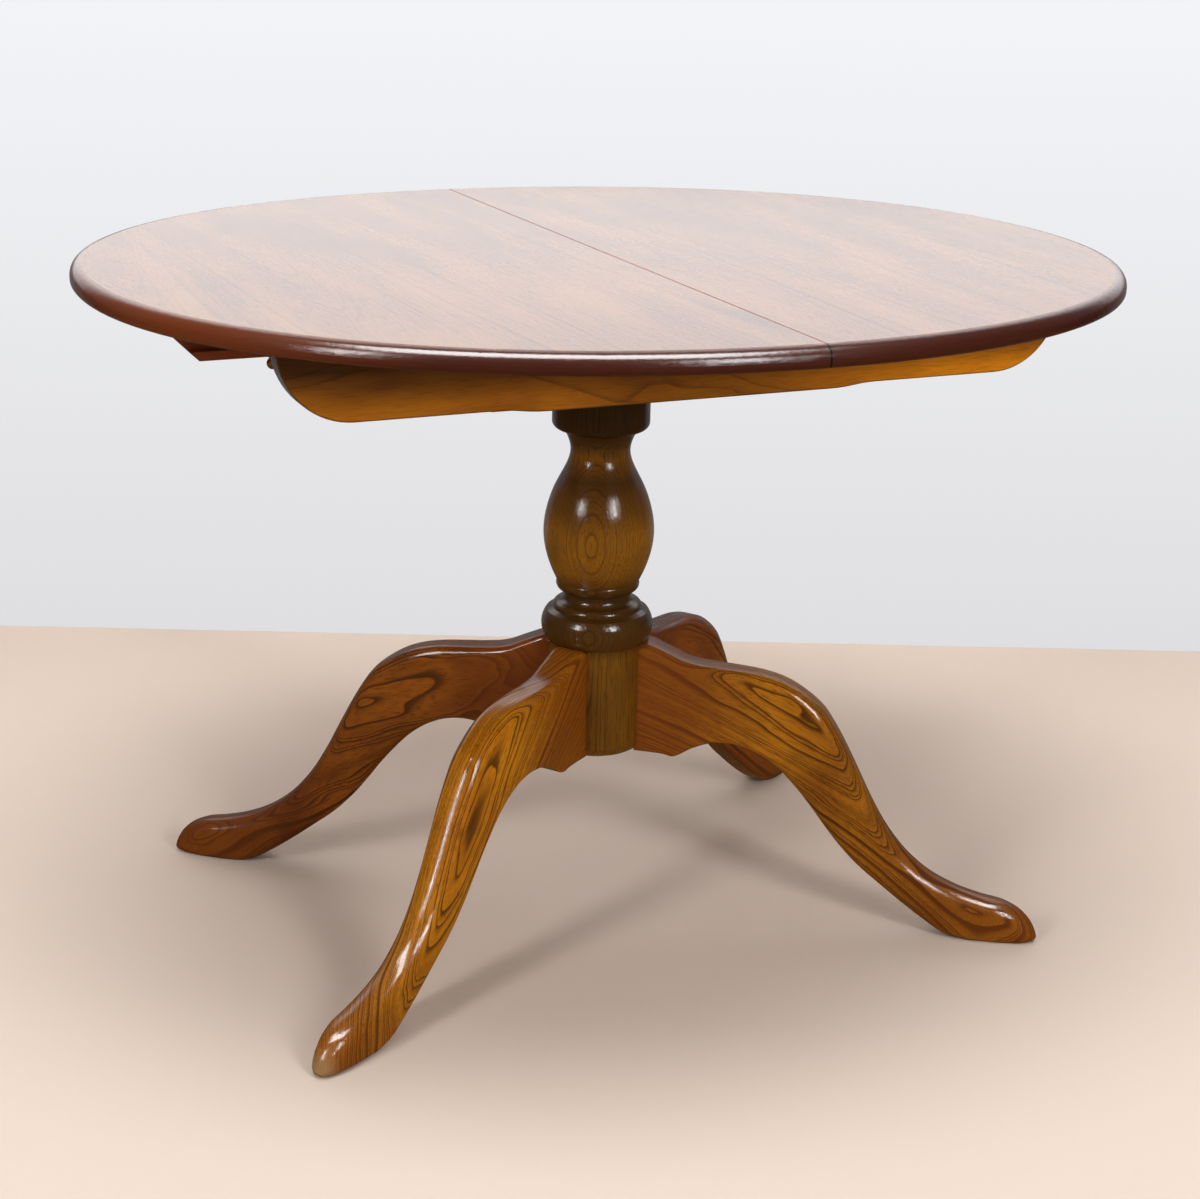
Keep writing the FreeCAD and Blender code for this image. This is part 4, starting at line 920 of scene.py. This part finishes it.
def stain_and_shade_up(tree, colour):
    """The rail darker towards the top, partly stain and partly painted shade, with painted shade
    over the middle, and darker where a face looks down.
    """
    place = add(tree, "TexCoord").outputs["Object"]
    level = add(tree, "SeparateXYZ", {0: place}).outputs["Z"]
    part = add(tree, "MapRange", {0: level, 1: RAIL_FOOT_MM * MM, 2: RAIL_HEAD_MM * MM,
                                  3: 0.0, 4: 1.0})
    stops = [((height - RAIL_FOOT_MM) / (RAIL_HEAD_MM - RAIL_FOOT_MM), share)
             for height, share in RAIL_STAIN_AND_SHADE_BY_HEIGHT]
    share = add(tree, "ValToRGB", {0: part.outputs[0]}, stops)
    # Darker towards the top: partly a darker stain, partly painted shade under the top.
    upper = stained(tree, colour, share.outputs[0], RAIL_STAIN_AND_SHADE)
    along = add(tree, "SeparateXYZ", {0: place}).outputs["X"]
    aside = add(tree, "Math", {0: along}, operation="ABSOLUTE")
    middle = add(tree, "MapRange", {0: aside.outputs[0], 1: MIDDLE_TO, 2: ASIDE_FROM,
                                    3: MIDDLE_SHADE_SHARE, 4: 0.0})
    # Painted shade over the middle of the rail.
    upper = stained(tree, upper, middle.outputs[0], RAIL_STAIN_AND_SHADE)
    facing = add(tree, "SeparateXYZ", {0: add(tree, "NewGeometry").outputs["Normal"]})
    under = add(tree, "MapRange", {0: facing.outputs["Z"], 1: UNDER_FROM, 2: UNDER_FULL,
                                   3: 0.0, 4: UNDER_SHARE})
    return stained(tree, upper, under.outputs[0], RAIL_STAIN_AND_SHADE)


finish(["side_rail_front", "side_rail_back"],
       wood("elm_rails", "#F0960A", "#4A2206", "#D88008", pith=Vector((0.0, 0.10, 0.62)),
            grain=ALONG_X, contrast=0.45, tint=stain_and_shade_up))
finish(["bearer_left_front", "bearer_left_back", "bearer_right_front", "bearer_right_back"],
       wood("elm_bearers", "#8C4420", "#4A2210", "#743616", pith=Vector((0.0, 0.0, 0.60)),
            grain=ALONG_X, contrast=0.5, coat=0.3))

# %% [markdown]
# ## Beech and plywood
#
# The pieces under the top do the work and are seldom seen, so they are of plain beech with
# no polish. Beech is pale and even, with faint rings and short darker flecks. It comes from
# the same wood function, with little contrast and no coat.
#
# Plywood is peeled from a turning log and glued in crossed layers. A face shows one broad
# wild figure, and an edge shows the layers, so the layers are mixed in where the surface
# stands upright.

# %% Beech
FLECK_MM = (4.0, 0.8, 0.8)
FLECK_FROM, FLECK_FULL = 0.60, 0.72
FLECK_SHARE = 0.5
FLECK_BROWN = "#7E5530"


def flecked(tree, colour):
    """Short darker flecks, as beech has on every face."""
    place = add(tree, "TexCoord").outputs["Object"]
    fleck = tuple(1 / (side * MM) for side in FLECK_MM)
    small = add(tree, "VectorMath", {0: place, 1: fleck}, operation="MULTIPLY")
    noise = add(tree, "TexNoise", {"Vector": small.outputs[0], "Scale": 1.0, "Detail": 1.0})
    flecks = add(tree, "MapRange", {0: noise.outputs[0], 1: FLECK_FROM, 2: FLECK_FULL, 3: 0.0,
                                    4: FLECK_SHARE})
    return stained(tree, colour, flecks.outputs[0], FLECK_BROWN)


def beech(name, grain):
    """Beech with its grain along a piece."""
    return wood(name, "#BC8D5C", "#93663C", "#AC7C4C", pith=Vector((0.05, 0.04, 0.50)),
                grain=grain, ring_mm=3.0, contrast=0.5, coat=0.0, tint=flecked)


finish(["runner_front", "runner_back", "end_rail_dowels", "seam_dowels", "tray_battens",
        "fixed_stops", "stop_blocks_left", "stop_blocks_right"],
       beech("beech_lengthwise", ALONG_X))
finish(["cross_rail_left", "cross_rail_right", "end_rail_left", "end_rail_right",
        "frame_dowels", "top_plate"], beech("beech_crosswise", ALONG_Y))

# %% Plywood
# An edge is told from a face by how far its normal's Z is from 0.
TRAY_THICK_MM, LAYERS = 4.0, 3
LAYER_MM = TRAY_THICK_MM / LAYERS
TRAY_BOTTOM_MM = 627.9
FACE_FROM, EDGE_FROM = 0.7, 0.3
LAYER_SHARE = 0.8
LAYER_DARK = "#6E4A2A"


def layered_edge(tree, colour):
    """Light and dark layers where plywood is cut through."""
    place = add(tree, "TexCoord").outputs["Object"]
    level = add(tree, "SeparateXYZ", {0: place}).outputs["Z"]
    above = add(tree, "Math", {0: level, 1: TRAY_BOTTOM_MM * MM}, operation="SUBTRACT")
    pair = add(tree, "Math", {0: above.outputs[0], 1: 2 * LAYER_MM * MM}, operation="DIVIDE")
    half = add(tree, "Math", {0: pair.outputs[0]}, operation="FRACT")
    dark = add(tree, "Math", {0: half.outputs[0], 1: 0.5}, operation="GREATER_THAN")
    facing = add(tree, "SeparateXYZ", {0: add(tree, "NewGeometry").outputs["Normal"]})
    steep = add(tree, "Math", {0: facing.outputs["Z"]}, operation="ABSOLUTE")
    edge = add(tree, "MapRange", {0: steep.outputs[0], 1: FACE_FROM, 2: EDGE_FROM, 3: 0.0,
                                  4: LAYER_SHARE})
    both = add(tree, "Math", {0: dark.outputs[0], 1: edge.outputs[0]}, operation="MULTIPLY")
    return stained(tree, colour, both.outputs[0], LAYER_DARK)


finish(["tray"],
       wood("birch_plywood", "#C39C6C", "#A37A4C", "#B88E5E", pith=Vector((0.0, 0.0, 0.42)),
            grain=Vector((1.0, 0.02, 0.012)), ring_mm=1.6, wander_mm=9.0, contrast=0.5, coat=0.0,
            tint=layered_edge))

# %% [markdown]
# ## Brass and steel
#
# The bolts and the hinges are of lacquered brass that has dulled: brown in patches, and
# less smooth there, so one noise drives the colour and the roughness together. The screws
# are plain steel with a thin grey skin. Both are metals, so the base colour is the colour
# of their mirror.

# %% Metals
DULL_FROM, DULL_FULL = 0.42, 0.62


def metal(name, bright, dull, smooth, rough, patch_mm):
    """A metal that has dulled in patches of about this size."""
    material = bpy.data.materials.new(name)
    material.use_nodes = True
    tree = material.node_tree
    surface = tree.nodes["Principled BSDF"]
    place = add(tree, "TexCoord").outputs["Object"]
    noise = add(tree, "TexNoise", {"Vector": place, "Scale": 1 / (patch_mm * MM), "Detail": 4.0})
    patches = add(tree, "MapRange", {0: noise.outputs[0], 1: DULL_FROM, 2: DULL_FULL, 3: 0.0,
                                     4: 1.0})
    colour = stained(tree, linear(bright), patches.outputs[0], dull)
    dullness = add(tree, "MapRange", {0: patches.outputs[0], 1: 0.0, 2: 1.0, 3: smooth, 4: rough})
    tree.links.new(colour, surface.inputs["Base Color"])
    tree.links.new(dullness.outputs[0], surface.inputs["Roughness"])
    surface.inputs["Metallic"].default_value = 1.0
    return material


finish(["bolt_left", "bolt_right", "bolt_barrel_left", "bolt_barrel_right", "bolt_screws_left",
        "bolt_screws_right", "bolt_keeps", "leaf_hinge_lower", "leaf_hinge_upper",
        "leaf_hinge_pins", "leaf_hinge_screws"],
       metal("dulled_brass", "#F4D486", "#BC9454", smooth=0.36, rough=0.52, patch_mm=6.0))
finish(["plate_screws", "runner_screws", "bearer_screws_left", "bearer_screws_right"],
       metal("grey_steel", "#C6C8CA", "#7E8084", smooth=0.28, rough=0.50, patch_mm=4.0))
